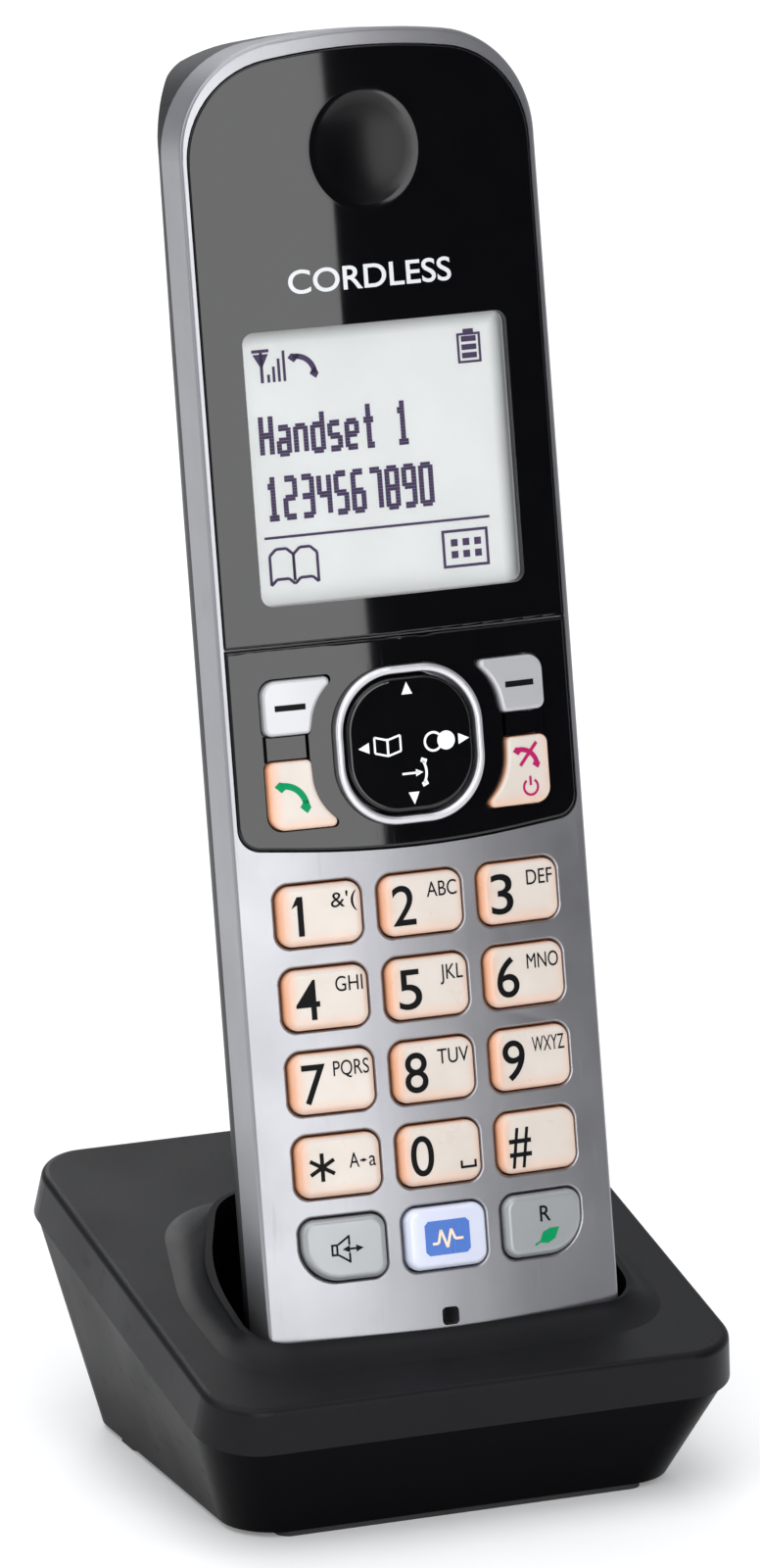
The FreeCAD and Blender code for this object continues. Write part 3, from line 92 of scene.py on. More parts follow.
class Finish:
    """A material in the making, with short ways to add the nodes that it needs."""

    def __init__(self, name):
        self.material = bpy.data.materials.new(name)
        self.material.use_nodes = True
        self.nodes = self.material.node_tree.nodes
        self.links = self.material.node_tree.links
        self.shader = self.nodes["Principled BSDF"]
        coordinates = self.nodes.new("ShaderNodeTexCoord")
        self.place = coordinates.outputs["Object"]
        self.normal = coordinates.outputs["Normal"]

    def set(self, name, value):
        """Puts a constant, or another node's output, on one of the shader's sockets."""
        self.feed(self.shader.inputs[name], value)

    def feed(self, socket, value):
        """Puts a constant, or another node's output, on a socket."""
        if isinstance(value, bpy.types.NodeSocket):
            self.links.new(value, socket)
        else:
            socket.default_value = value

    def stretched(self, x, y, z):
        """The place, stretched so that a texture on it is drawn out along an axis."""
        mapping = self.nodes.new("ShaderNodeMapping")
        mapping.inputs["Scale"].default_value = (x, y, z)
        self.links.new(self.place, mapping.inputs["Vector"])
        return mapping.outputs["Vector"]

    def noise(self, size, detail, place=None):
        """Soft random patches of about that size in millimetres."""
        node = self.nodes.new("ShaderNodeTexNoise")
        node.inputs["Scale"].default_value = 1 / (size * MM)
        node.inputs["Detail"].default_value = detail
        self.links.new(place or self.place, node.inputs["Vector"])
        return node.outputs["Fac"]

    def cells(self, size):
        """Distance to the nearest of many scattered points, that size in millimetres apart."""
        node = self.nodes.new("ShaderNodeTexVoronoi")
        node.inputs["Scale"].default_value = 1 / (size * MM)
        self.links.new(self.place, node.inputs["Vector"])
        return node.outputs["Distance"]

    def uneven(self, size, detail, low, high):
        """Soft random patches, that size in millimetres, that run from low to high."""
        return self.remap(self.noise(size, detail), NOISE_LOW, NOISE_HIGH, low, high)

    def remap(self, value, low, high, to_low, to_high):
        """Carries low to to_low and high to to_high, and keeps what lies outside at the ends."""
        node = self.nodes.new("ShaderNodeMapRange")
        self.feed(node.inputs["Value"], value)
        node.inputs["From Min"].default_value = low
        node.inputs["From Max"].default_value = high
        node.inputs["To Min"].default_value = to_low
        node.inputs["To Max"].default_value = to_high
        return node.outputs["Result"]

    def math(self, operation, first, second=0.0):
        """The result of a sum; an operation on one value leaves the second out."""
        node = self.nodes.new("ShaderNodeMath")
        node.operation = operation
        self.feed(node.inputs[0], first)
        self.feed(node.inputs[1], second)
        return node.outputs["Value"]

    def facing(self, direction):
        """How squarely the surface faces a direction: 1 straight, 0 edge on."""
        node = self.nodes.new("ShaderNodeVectorMath")
        node.operation = "DOT_PRODUCT"
        self.links.new(self.normal, node.inputs[0])
        node.inputs[1].default_value = direction
        return node.outputs["Value"]

    def along(self, direction):
        """How far the place lies along a direction, in metres."""
        node = self.nodes.new("ShaderNodeVectorMath")
        node.operation = "DOT_PRODUCT"
        self.links.new(self.place, node.inputs[0])
        node.inputs[1].default_value = direction
        return node.outputs["Value"]

    def across(self):
        """How far the place lies across the handset, in millimetres."""
        return self.math("MULTIPLY", self.along(ACROSS), 1 / MM)

    def up_from(self, v):
        """How far the place lies up the handset from v, in millimetres."""
        up = self.math("MULTIPLY", self.math("SUBTRACT", self.along(UP), FOOT.dot(UP)), 1 / MM)
        return self.math("SUBTRACT", up, v)

    def blend(self, factor, first, second):
        """A colour between two: the first at factor 0, the second at factor 1."""
        node = self.nodes.new("ShaderNodeMix")
        node.data_type = "RGBA"
        self.feed(node.inputs["Factor"], factor)
        self.feed(node.inputs[MIX_FIRST], first)
        self.feed(node.inputs[MIX_SECOND], second)
        return node.outputs[MIX_RESULT]

    def bump(self, height, depth, under=None):
        """Relief of that depth in millimetres; under is relief that it is added to."""
        node = self.nodes.new("ShaderNodeBump")
        node.inputs["Distance"].default_value = depth * MM
        node.inputs["Strength"].default_value = 1.0
        self.links.new(height, node.inputs["Height"])
        if under is not None:
            self.links.new(under, node.inputs["Normal"])
        return node.outputs["Normal"]


def shade(colour, factor):
    """The colour made lighter or darker."""
    return tuple(min(1.0, channel * factor) for channel in colour[:3]) + (1.0,)


def plastic(name, colour, rough, grain, smudge, mottle, scratch=0.0015, **fixed):
    """A moulded or painted finish: mottled colour, uneven gloss, fine grain and faint scratches.

    grain is its size and depth, and scratch the scratches' depth, in millimetres. smudge is how far the
    gloss varies and mottle how far the colour does. fixed holds plain values of the shader's sockets.
    """
    finish = Finish(name)
    tone = finish.uneven(COLOUR_PATCH, 3.0, 0.0, 1.0)
    finish.set("Base Color", finish.blend(tone, shade(colour, 1 - mottle), shade(colour, 1 + mottle)))
    lines = finish.noise(SCRATCH_SIZE, 2.0, finish.stretched(*SCRATCH_STRETCH))
    scratches = finish.remap(lines, SCRATCH_FROM, SCRATCH_FULL, 0.0, 1.0)
    gloss = finish.uneven(GLOSS_PATCH, 4.0, rough - smudge, rough + smudge)
    finish.set("Roughness", finish.math("ADD", gloss, finish.math("MULTIPLY", scratches, smudge)))
    grain_size, grain_depth = grain
    relief = finish.bump(finish.noise(grain_size, 3.0), grain_depth)
    finish.set("Normal", finish.bump(scratches, -scratch, relief))
    for socket, value in fixed.items():
        finish.set(socket.replace("_", " "), value)
    return finish.material


def key_box(node):
    """The left, low, right and top edges of a key, in the handset's frame."""
    mesh = frame["nodes"][node].data
    across = [vertex.co.x / MM for vertex in mesh.vertices]
    up = [(vertex.co - FOOT).dot(UP) / MM for vertex in mesh.vertices]
    return min(across), min(up), max(across), max(up)


def ivory(node):
    """Translucent cream key plastic, with a painted orange glow towards its walls, most at its left, and
    painted pale grey light along its top.
    """
    finish = Finish(f"key_ivory_{node}")
    left, low, right, top = key_box(node)
    # How far in from each edge the painted glow reaches, and how far down from the top the painted pale light
    # reaches, in millimetres.
    painted_glow_left_reach, painted_glow_right_reach, painted_glow_low_reach, painted_top_light_reach = 2.7, 2.2, 2.6, 1.5
    # The orange of the painted glow.
    painted_glow_colour = tint(230, 146, 84)
    u = finish.across()
    v = finish.up_from(0.0)
    # Painted glow: orange painted in from the left, right and lower edges and onto the side walls, strongest
    # at the left.
    painted_glow_left = finish.remap(u, left, left + painted_glow_left_reach, 1.0, 0.0)
    painted_light_right = finish.remap(u, right - painted_glow_right_reach, right, 0.0, 0.5)
    painted_glow_low = finish.remap(v, low, low + painted_glow_low_reach, 0.62, 0.0)
    painted_glow = finish.math("MAXIMUM", painted_glow_left, finish.math("MAXIMUM", painted_light_right, painted_glow_low))
    painted_glow_wall = finish.remap(finish.facing(-INWARD), 0.1, 0.85, 0.8, 0.0)
    painted_glow = finish.math("MAXIMUM", painted_glow, painted_glow_wall)
    cream = finish.blend(finish.uneven(5.0, 2.0, 0.0, 1.0), tint(203, 193, 183), tint(209, 200, 191))
    # Painted light: the top edge of the key painted pale grey.
    painted_light_top = finish.remap(v, top - painted_top_light_reach, top, 0.0, 0.45)
    cream = finish.blend(painted_light_top, cream, tint(196, 194, 192))
    # How strongly the painted glow colours each place.
    edge = finish.math("POWER", painted_glow, 1.3)
    finish.set("Base Color", finish.blend(edge, cream, painted_glow_colour))
    finish.set("Roughness", finish.uneven(3.0, 3.0, 0.27, 0.37))
    finish.set("Normal", finish.bump(finish.noise(0.35, 3.0), 0.0022))
    finish.set("Subsurface Weight", 0.12)
    finish.set("Subsurface Radius", (1.0, 0.6, 0.35))
    finish.set("Subsurface Scale", 0.0012)
    finish.set("Coat Weight", 0.12)
    finish.set("Coat Roughness", 0.12)
    return finish.material


def panel_gloss():
    """The display panel's gloss, with the earpiece's dish duller than the face round it."""
    finish = Finish("panel_gloss")
    dish_radius, rim_radius = 5.6, 8.0
    u = finish.across()
    v = finish.up_from(DISH_V)
    squares = finish.math("ADD", finish.math("MULTIPLY", u, u), finish.math("MULTIPLY", v, v))
    dish = finish.remap(finish.math("SQRT", squares), dish_radius, rim_radius, 1.0, 0.0)
    tone = finish.uneven(COLOUR_PATCH, 3.0, 0.0, 1.0)
    finish.set("Base Color", finish.blend(tone, tint(6, 6, 8), tint(8, 8, 10)))
    gloss = finish.uneven(GLOSS_PATCH, 4.0, 0.03, 0.07)
    finish.set("Roughness", finish.math("ADD", gloss, finish.math("MULTIPLY", dish, 0.2)))
    finish.set("Specular IOR Level", finish.remap(dish, 0.0, 1.0, 0.5, 0.2))
    finish.set("Normal", finish.bump(finish.noise(9.0, 3.0), 0.0012))
    return finish.material


def display_glass():
    """The clear pane over the display."""
    finish = Finish("clear_window")
    finish.nodes.remove(finish.shader)
    clear = finish.nodes.new("ShaderNodeBsdfTransparent")
    clear.inputs["Color"].default_value = (0.97, 0.985, 0.985, 1)
    gloss = finish.nodes.new("ShaderNodeBsdfGlossy")
    finish.links.new(finish.uneven(9.0, 3.0, 0.03, 0.07), gloss.inputs["Roughness"])
    finish.links.new(finish.bump(finish.noise(6.0, 2.0), 0.0008), gloss.inputs["Normal"])
    fresnel = finish.nodes.new("ShaderNodeFresnel")
    fresnel.inputs["IOR"].default_value = 1.35
    mix = finish.nodes.new("ShaderNodeMixShader")
    finish.links.new(fresnel.outputs["Fac"], mix.inputs["Fac"])
    finish.links.new(clear.outputs["BSDF"], mix.inputs[1])
    finish.links.new(gloss.outputs["BSDF"], mix.inputs[2])
    output = finish.nodes["Material Output"]
    finish.links.new(mix.outputs["Shader"], output.inputs["Surface"])
    return finish.material


def display_white():
    """The lit face of the display, slightly uneven, with painted shade that darkens it along its right and
    top edges.
    """
    finish = Finish("lcd_white")
    # Where the painted shade begins and where it is darkest, in millimetres across and up the handset.
    painted_shade_right_from, painted_shade_right_edge = 15.9, 18.3
    painted_shade_top_from, painted_shade_top_edge = 132.4, 135.2
    colour = finish.blend(finish.uneven(12.0, 2.0, 0.0, 1.0), tint(224, 221, 220), tint(230, 228, 227))
    painted_light_right = finish.remap(finish.across(), painted_shade_right_from, painted_shade_right_edge, 0.0, 1.0)
    painted_light_top = finish.remap(finish.up_from(0.0), painted_shade_top_from, painted_shade_top_edge, 0.0, 1.0)
    painted_shade = finish.math("POWER", finish.math("MAXIMUM", painted_light_right, painted_light_top), 1.4)
    # Painted shade: dark grey painted towards the right and top edges, in the colour and in the glow.
    colour = finish.blend(painted_shade, colour, tint(40, 40, 46))
    finish.set("Base Color", colour)
    finish.set("Emission Color", colour)
    finish.set("Emission Strength", 0.25)
    finish.set("Roughness", finish.uneven(1.0, 2.0, 0.32, 0.42))
    finish.set("Normal", finish.bump(finish.noise(0.3, 2.0), 0.001))
    return finish.material


def metal(name, colour, rough, grain, stretch):
    """Plated or polished metal with a drawn-out grain."""
    finish = Finish(name)
    lines = finish.noise(grain, 4.0, finish.stretched(*stretch))
    tone = finish.uneven(4.0, 3.0, 0.0, 1.0)
    finish.set("Base Color", finish.blend(tone, shade(colour, 0.93), shade(colour, 1.04)))
    finish.set("Metallic", 1.0)
    finish.set("Roughness", finish.remap(lines, 0.25, 0.75, rough - 0.07, rough + 0.07))
    finish.set("Normal", finish.bump(lines, 0.0015))
    return finish.material


def circuit():
    """Green solder mask with darker traces and small copper dots."""
    finish = Finish("circuit_board")
    traces = finish.remap(finish.cells(2.4), 0.42, 0.5, 0.0, 1.0)
    green = finish.blend(traces, tint(24, 92, 50), tint(14, 60, 34))
    dots = finish.remap(finish.cells(3.1), 0.1, 0.13, 1.0, 0.0)
    finish.set("Base Color", finish.blend(dots, green, tint(190, 140, 70)))
    finish.set("Roughness", finish.uneven(2.0, 3.0, 0.3, 0.45))
    finish.set("Normal", finish.bump(traces, 0.02))
    return finish.material


FINISHES = {
    "base_shell_black": plastic("base_shell_black", tint(8, 8, 11), 0.4, (0.3, 0.01), 0.05, 0.12,
                                Specular_IOR_Level=0.19),
    "base_tray_black": plastic("base_tray_black", tint(3, 3, 5), 0.32, (0.6, 0.004), 0.05, 0.12,
                               Specular_IOR_Level=0.03),
    "foot_rubber": plastic("foot_rubber", tint(34, 34, 34), 0.75, (0.3, 0.03), 0.06, 0.15),
    "screw_steel": metal("screw_steel", tint(178, 179, 182), 0.32, 0.4, (1, 1, 1)),
    "contact_metal": metal("contact_metal", tint(214, 208, 196), 0.2, 0.3, (1, 6, 6)),
    "inner_plastic": plastic("inner_plastic", tint(30, 30, 33), 0.5, (0.5, 0.012), 0.06, 0.10),
    "circuit_board": circuit(),
    "silver_frame": plastic("silver_frame", tint(150, 150, 154), 0.34, (0.16, 0.0028), 0.04, 0.025,
                            Metallic=0.88),
    "rear_black": plastic("rear_black", tint(18, 18, 21), 0.4, (0.3, 0.012), 0.05, 0.12,
                          Specular_IOR_Level=0.3),
    "gloss_black": plastic("gloss_black", tint(7, 7, 9), 0.05, (9.0, 0.0012), 0.02, 0.10, 0.0006),
    "clear_window": display_glass(),
    "lcd_white": display_white(),
    "ring_silver": plastic("ring_silver", tint(205, 205, 209), 0.3, (0.16, 0.001), 0.04, 0.02, Metallic=0.85),
    "battery_wrap": plastic("battery_wrap", tint(70, 112, 70), 0.3, (1.2, 0.006), 0.05, 0.08),
    "key_silver": plastic("key_silver", tint(182, 182, 185), 0.34, (0.2, 0.002), 0.04, 0.02, Metallic=0.35),
    "key_grey": plastic("key_grey", tint(154, 157, 159), 0.34, (0.2, 0.002), 0.04, 0.02, Metallic=0.3),
    "key_clear": plastic("key_clear", tint(206, 210, 228), 0.16, (0.6, 0.002), 0.04, 0.03,
                         Coat_Weight=0.8, Coat_Roughness=0.06),
}


def dress_nodes():
    """Gives each CAD node the finish that its packed material names."""
    for name, node in frame["nodes"].items():
        for slot in node.material_slots:
            finish = slot.material.name.split(".")[0]
            slot.material = ivory(name) if finish == "key_ivory" else FINISHES[finish]
    frame["nodes"]["display_panel"].material_slots[0].material = panel_gloss()


dress_nodes()

INK_BLACK = plastic("ink_black", tint(8, 8, 10), 0.5, (0.2, 0.002), 0.06, 0.15, Specular_IOR_Level=0.1)
INK_WHITE = plastic("ink_white", tint(238, 240, 242), 0.4, (0.2, 0.002), 0.06, 0.03)
INK_GREEN = plastic("ink_green", tint(0, 138, 84), 0.5, (0.2, 0.002), 0.06, 0.06, Specular_IOR_Level=0.1)
INK_MAGENTA = plastic("ink_magenta", tint(166, 24, 88), 0.5, (0.2, 0.002), 0.06, 0.06,
                      Specular_IOR_Level=0.1)
INK_SILVER = plastic("ink_silver", tint(208, 210, 212), 0.4, (0.2, 0.002), 0.06, 0.03)
INK_CREAM = plastic("ink_cream", tint(240, 214, 186), 0.4, (0.2, 0.002), 0.06, 0.03)
PLATE_BLUE = plastic("plate_blue", tint(64, 108, 188), 0.25, (0.4, 0.002), 0.05, 0.08)
DISPLAY_INK = plastic("display_ink", tint(72, 48, 94), 0.5, (0.2, 0.001), 0.05, 0.08)


# ---- prints ---------------------------------------------------------------------------------------


def disc(x, y, radius, count):
    """A filled circle with that many corners."""
    turns = [2 * pi * i / count for i in range(count)]
    return [(x + radius * cos(turn), y + radius * sin(turn)) for turn in turns]


def bar(x0, y0, x1, y1, width):
    """A straight stroke."""
    angle = atan2(y1 - y0, x1 - x0) + pi / 2
    dx, dy = cos(angle) * width / 2, sin(angle) * width / 2
    return [(x0 - dx, y0 - dy), (x1 - dx, y1 - dy), (x1 + dx, y1 + dy), (x0 + dx, y0 + dy)]


def box(x0, y0, x1, y1):
    """An upright rectangle between two corners."""
    return [(x0, y0), (x1, y0), (x1, y1), (x0, y1)]


def arc(x, y, radius, width, start, finish, count):
    """A curved stroke from one angle to another, in degrees."""
    turns = [radians(start + (finish - start) * i / count) for i in range(count + 1)]
    outer = [(x + (radius + width / 2) * cos(t), y + (radius + width / 2) * sin(t)) for t in turns]
    inner = [(x + (radius - width / 2) * cos(t), y + (radius - width / 2) * sin(t)) for t in turns]
    return outer + inner[::-1]


def frame_of(x0, y0, x1, y1, width):
    """The four strokes of an upright rectangle."""
    return [box(x0, y0, x1, y0 + width), box(x0, y1 - width, x1, y1),
            box(x0, y0 + width, x0 + width, y1 - width), box(x1 - width, y0 + width, x1, y1 - width)]


def triangle(x, y, size, angle):
    """A narrow triangle that points along the angle."""
    turns = [radians(angle + turn) for turn in (0, 130, 230)]
    return [(x + size * cos(turn), y + size * sin(turn)) for turn in turns]


def receiver(x, y, size, angle):
    """A telephone receiver: a curved grip between two square ends, drawn first with half its length 1."""
    turn = radians(angle)
    shapes = []
    grip = arc(0, -0.95, 1.08, 0.3, 44, 136, 14)
    ends = [[(s * 1.0, -0.42), (s * 0.56, -0.42), (s * 0.5, 0.0), (s * 0.62, 0.08), (s * 0.97, -0.1)]
            for s in (-1, 1)]
    for shape in [grip] + ends:
        shapes.append([(x + size * (px * cos(turn) - py * sin(turn)),
                        y + size * (px * sin(turn) + py * cos(turn))) for px, py in shape])
    return shapes


NO_AREA = 1e-9


def flat(shapes):
    """The points and triangles of flat outlines."""
    points, faces = [], []
    for shape in shapes:
        first = len(points)
        points += shape
        for a, b, c in tessellate_polygon([[Vector((x, y, 0)) for x, y in shape]]):
            turn = ((shape[b][0] - shape[a][0]) * (shape[c][1] - shape[a][1])
                    - (shape[b][1] - shape[a][1]) * (shape[c][0] - shape[a][0]))
            if turn > NO_AREA:
                faces.append((first + a, first + b, first + c))
            elif turn < -NO_AREA:
                faces.append((first + a, first + c, first + b))
    return points, faces


# The height of a capital letter of size 1.
LETTER_TOP = 0.69


def letters(text, x, y, height, side, bold, wide):
    """The points and triangles of upright text of that height, drawn out or in to the given width.

    side is 0, 0.5 or 1 for text that starts, is centred or ends at x.
    """
    curve = bpy.data.curves.new("letters", "FONT")
    curve.body = text
    curve.size = height / LETTER_TOP
    curve.offset = bold
    holder = bpy.data.objects.new("letters", curve)
    bpy.context.scene.collection.objects.link(holder)
    bpy.context.view_layer.update()
    mesh = holder.evaluated_get(bpy.context.evaluated_depsgraph_get()).to_mesh()
    points = [tuple(vertex.co[:2]) for vertex in mesh.vertices]
    faces = [tuple(face.vertices) for face in mesh.polygons]
    bpy.data.objects.remove(holder)
    bpy.data.curves.remove(curve)
    left, right = min(p[0] for p in points), max(p[0] for p in points)
    stretch = wide / (right - left)
    shift = x - (left + (right - left) * side) * stretch
    return [(px * stretch + shift, py + y) for px, py in points], faces


def joined(*prints):
    """Several flat prints as one."""
    points, faces = [], []
    for more_points, more_faces in prints:
        first = len(points)
        points += more_points
        faces += [tuple(first + index for index in face) for face in more_faces]
    return points, faces


def surface_of(node):
    """The surface of a CAD node, to lay a print on."""
    mesh = frame["nodes"][node].data
    return BVHTree.FromPolygons([vertex.co for vertex in mesh.vertices],
                                [face.vertices for face in mesh.polygons])


# How far ink stands out of its surface and reaches into it, and how far in front a ray starts.
PRINT_RISE = 0.035
PRINT_SINK = 0.03
RAY_START = -20


def lay(name, outline, node, body, finish, depth=None, rise=PRINT_RISE):
    """Makes ink of a flat print: a thin closed solid on the front of a CAD node, or at a depth."""
    points, faces = outline
    surface = surface_of(node) if depth is None else None
    tops, bottoms = [], []
    for u, v in points:
        if surface:
            start = on_handset(u, v, RAY_START)
            hit = surface.ray_cast(start, INWARD)[0]
            if hit is None:
                raise RuntimeError(f"{name}: nothing of {node} under ({u:.1f}, {v:.1f})")
        else:
            hit = on_handset(u, v, depth)
        tops.append(hit - INWARD * rise * MM)
        bottoms.append(hit + INWARD * PRINT_SINK * MM)
    count = len(points)
    edges = {(face[i - 1], face[i]) for face in faces for i in range(len(face))}
    solid = [tuple(face) for face in faces]
    solid += [tuple(count + index for index in face[::-1]) for face in faces]
    solid += [(b, a, count + a, count + b) for a, b in sorted(edges) if (b, a) not in edges]
    mesh = bpy.data.meshes.new(name)
    mesh.from_pydata(tops + bottoms, [], solid)
    mesh.materials.append(finish)
    mesh.validate()
    mesh.update()
    item = bpy.data.objects.new(name, mesh)
    bpy.context.scene.collection.objects.link(item)
    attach(item, body)


# ---- key legends ----------------------------------------------------------------------------------

LEGEND_LEFT = 4.15
LEGEND_RIGHT = 4.7
DIGIT_HEIGHT = 5.0
DIGIT_WIDE = 3.1
DIGIT_BOLD = 0.03
LETTER_HEIGHT = 1.9
SIDE_KEY_U = 15.6
SYMBOL_STROKE = 0.26

NUMBER_KEYS = {
    "key_1": "1", "key_2": "2", "key_3": "3", "key_4": "4", "key_5": "5", "key_6": "6",
    "key_7": "7", "key_8": "8", "key_9": "9", "key_star": "*", "key_0": "0", "key_hash": "#",
}
# The small letters of a key, and how wide they run.
KEY_LETTERS = {
    "key_1": ("&'(", 3.4), "key_2": ("ABC", 4.1), "key_3": ("DEF", 3.7), "key_4": ("GHI", 3.6),
    "key_5": ("JKL", 3.1), "key_6": ("MNO", 4.5), "key_7": ("PQRS", 4.7), "key_8": ("TUV", 4.3),
    "key_9": ("WXYZ", 4.6),
}


def key_middle(node):
    """The middle of a key as (u, v)."""
    left, low, right, top = key_box(node)
    return (left + right) / 2, (low + top) / 2


def one(x, y, height):
    """A figure one with a flag, from its left foot."""
    stem, edge = x + 0.75, x + 1.5
    top = y + height
    return flat([box(stem, y, edge, top), [(x, top - 1.45), (stem, top - 1.0), (stem, top)]])


def star(x, y, radius):
    """Three crossed strokes."""
    strokes = []
    for angle in (90, 30, 150):
        dx, dy = radius * cos(radians(angle)), radius * sin(radians(angle))
        strokes.append(bar(x - dx, y - dy, x + dx, y + dy, 0.5))
    return flat(strokes)


def space_sign(right, v):
    """The bracket that marks a space: a low stroke with its ends turned up."""
    left, low, high = right - 2.2, v - 2.2, v - 1.2
    stroke_top = low + 0.32
    return flat([box(left, low, right, stroke_top), box(left, stroke_top, left + 0.3, high),
                 box(right - 0.3, stroke_top, right, high)])


def case_sign(right, v):
    """A capital and a small letter with an arrow between them."""
    foot, middle = v - 0.4, v + 0.4
    tail, head = right - 2.05, right - 1.5
    return joined(letters("A", right - 2.2, foot, LETTER_HEIGHT, 1, 0.0, 1.3),
                  letters("a", right, foot, LETTER_HEIGHT, 1, 0.0, 0.9),
                  flat([bar(tail, middle, head, middle, 0.22), triangle(head, middle, 0.36, 0)]))


def print_number_keys():
    for key, sign in NUMBER_KEYS.items():
        u, v = key_middle(key)
        left, right, foot = u - LEGEND_LEFT, u + LEGEND_RIGHT, v - DIGIT_HEIGHT / 2
        if sign == "1":
            figure = one(left + 0.3, foot, DIGIT_HEIGHT)
        elif sign == "*":
            figure = star(left + 1.8, v, 1.8)
        else:
            figure = letters(sign, left, foot, DIGIT_HEIGHT, 0, DIGIT_BOLD, DIGIT_WIDE)
        if key in KEY_LETTERS:
            text, wide = KEY_LETTERS[key]
            small = letters(text, right, v + 0.75, LETTER_HEIGHT, 1, 0.0, wide)
        elif key == "key_0":
            small = space_sign(right, v)
        elif key == "key_star":
            small = case_sign(right, v)
        else:
            small = flat([])
        lay(f"legend_{key}", joined(figure, small), key, key, INK_BLACK)


def print_side_keys():
    """A dash on each soft key, a receiver on the talk key, and one with a power sign on the off key."""
    for word, side in (("left", -1), ("right", 1)):
        key = f"soft_key_{word}"
        u, v = side * SIDE_KEY_U, key_middle(key)[1]
        lay(f"legend_{key}", flat([bar(u - 2.0, v, u + 2.0, v, 0.75)]), key, key, INK_BLACK)

    u, v = -SIDE_KEY_U, key_middle("talk_key")[1]
    lay("legend_talk_key", flat(receiver(u, v + 0.3, 2.7, -42)), "talk_key", "talk_key", INK_GREEN)

    u, v = SIDE_KEY_U + 0.6, key_middle("off_key")[1]
    power_stroke = 0.32
    power = [arc(u, v - 2.2, 1.0, power_stroke, 125, 415, 22), bar(u, v - 2.0, u, v - 0.8, power_stroke)]
    lay("legend_off_key", flat(receiver(u, v + 2.0, 2.1, -35) + power), "off_key", "off_key", INK_MAGENTA)
    cross = bar(u - 1.3, v + 0.6, u + 1.2, v + 3.4, 0.45)
    lay("stroke_off_key", flat([cross]), "off_key", "off_key", INK_MAGENTA)


def print_speaker_key():
    """A small loudspeaker with an arrow that points both ways through its horn."""
    u, v = key_middle("speaker_key")
    back, throat, mouth = u - 2.0, u - 1.1, u + 0.35
    rim = u + 0.25
    horn = frame_of(back, v - 0.75, throat, v + 0.75, SYMBOL_STROKE)
    horn += [bar(throat, v + side * 0.65, mouth, v + side * 1.6, SYMBOL_STROKE) for side in (1, -1)]
    horn += [box(rim, v + low, rim + SYMBOL_STROKE, v + high) for low, high in ((0.5, 1.75), (-1.75, -0.5))]
    arrow = [bar(u + 0.2, v, u + 1.5, v, SYMBOL_STROKE),
             triangle(u + 1.65, v, 0.6, 0), triangle(u + 0.05, v, 0.6, 180)]
    lay("legend_speaker_key", flat(horn + arrow), "speaker_key", "speaker_key", INK_BLACK)


def print_recall_key():
    """The letter R over a leaf."""
    u, v = key_middle("recall_key")
    letter = letters("R", u + 0.2, v + 0.35, 2.0, 0.5, 0.02, 1.5)
    lay("legend_recall_key", letter, "recall_key", "recall_key", INK_BLACK)
    edge = [(-1.15, -2.3), (0.0, -2.5), (1.1, -2.0), (1.75, -0.6), (0.5, -0.6), (-0.6, -1.0)]
    leaf = [(u + 0.3 + x, v + y) for x, y in edge]
    stalk = bar(u - 1.5, v - 2.55, u - 0.7, v - 2.2, 0.24)
    lay("leaf_recall_key", flat([leaf, stalk]), "recall_key", "recall_key", INK_GREEN)


def print_noise_key():
    """A blue plate with clipped corners, and a cream wave on it."""
    u, v = key_middle("noise_key")
    half, side, high, top = 2.55, 3.05, 1.7, 2.2
    plate = [(-side, -high), (-half, -top), (half, -top), (side, -high),
             (side, high), (half, top), (-half, top), (-side, high)]
    plate = [(u + x, v + y) for x, y in plate]
    lay("plate_noise_key", flat([plate]), "noise_key", "noise_key", PLATE_BLUE)
    wave = [(-2.1, -0.7), (-1.3, -0.7), (-0.9, 1.0), (-0.1, -1.3), (0.5, 1.0), (1.0, -0.3), (2.1, -0.3)]
    strokes = [bar(u + x0, v + y0, u + x1, v + y1, 0.34) for (x0, y0), (x1, y1) in zip(wave, wave[1:])]
    lay("wave_noise_key", flat(strokes), "noise_key", "noise_key", INK_CREAM, rise=PRINT_RISE * 2)


# ---- navigator and panel --------------------------------------------------------------------------


def print_navigator():
    """Four arrowheads, an open book on the left, two discs on the right, and a hook below."""
    middle = NAVIGATOR_V
    signs = [triangle(0, middle + 6.9, 0.95, 90), triangle(0, middle - 6.7, 0.95, 270),
             triangle(-6.2, middle, 0.9, 180), triangle(7.1, middle, 0.9, 0)]

    book_u, page_low, page_high, page_lift = -3.1, middle - 1.2, middle + 0.8, 0.45
    book = []
    for side in (-1, 1):
        spine, edge = book_u + side * 0.14, book_u + side * 1.75
        book += [bar(spine, page_low, edge, page_low + page_lift, SYMBOL_STROKE),
                 bar(spine, page_high, edge, page_high + page_lift, SYMBOL_STROKE),
                 bar(edge, page_low + page_lift, edge, page_high + page_lift, SYMBOL_STROKE)]
    book += [bar(book_u, middle - 1.35, book_u, middle + 0.95, 0.3)]

    redial = [arc(3.1, middle, 1.15, 0.3, 40, 320, 24), disc(4.85, middle, 1.2, 28)]

    hook_v = middle - 3.7
    hook = [bar(-1.4, hook_v, 0.9, hook_v, 0.28), triangle(0.85, hook_v, 0.6, 0),
            arc(-0.6, hook_v, 2.5, 0.32, -36, 36, 12)]
    hook += [bar(1.25, hook_v + side * 1.6, 2.0, hook_v + side * 1.3, 0.55) for side in (1, -1)]
    lay("navigator_symbols", flat(signs + book + redial + hook), "navigator_key", "navigator_key", INK_WHITE)


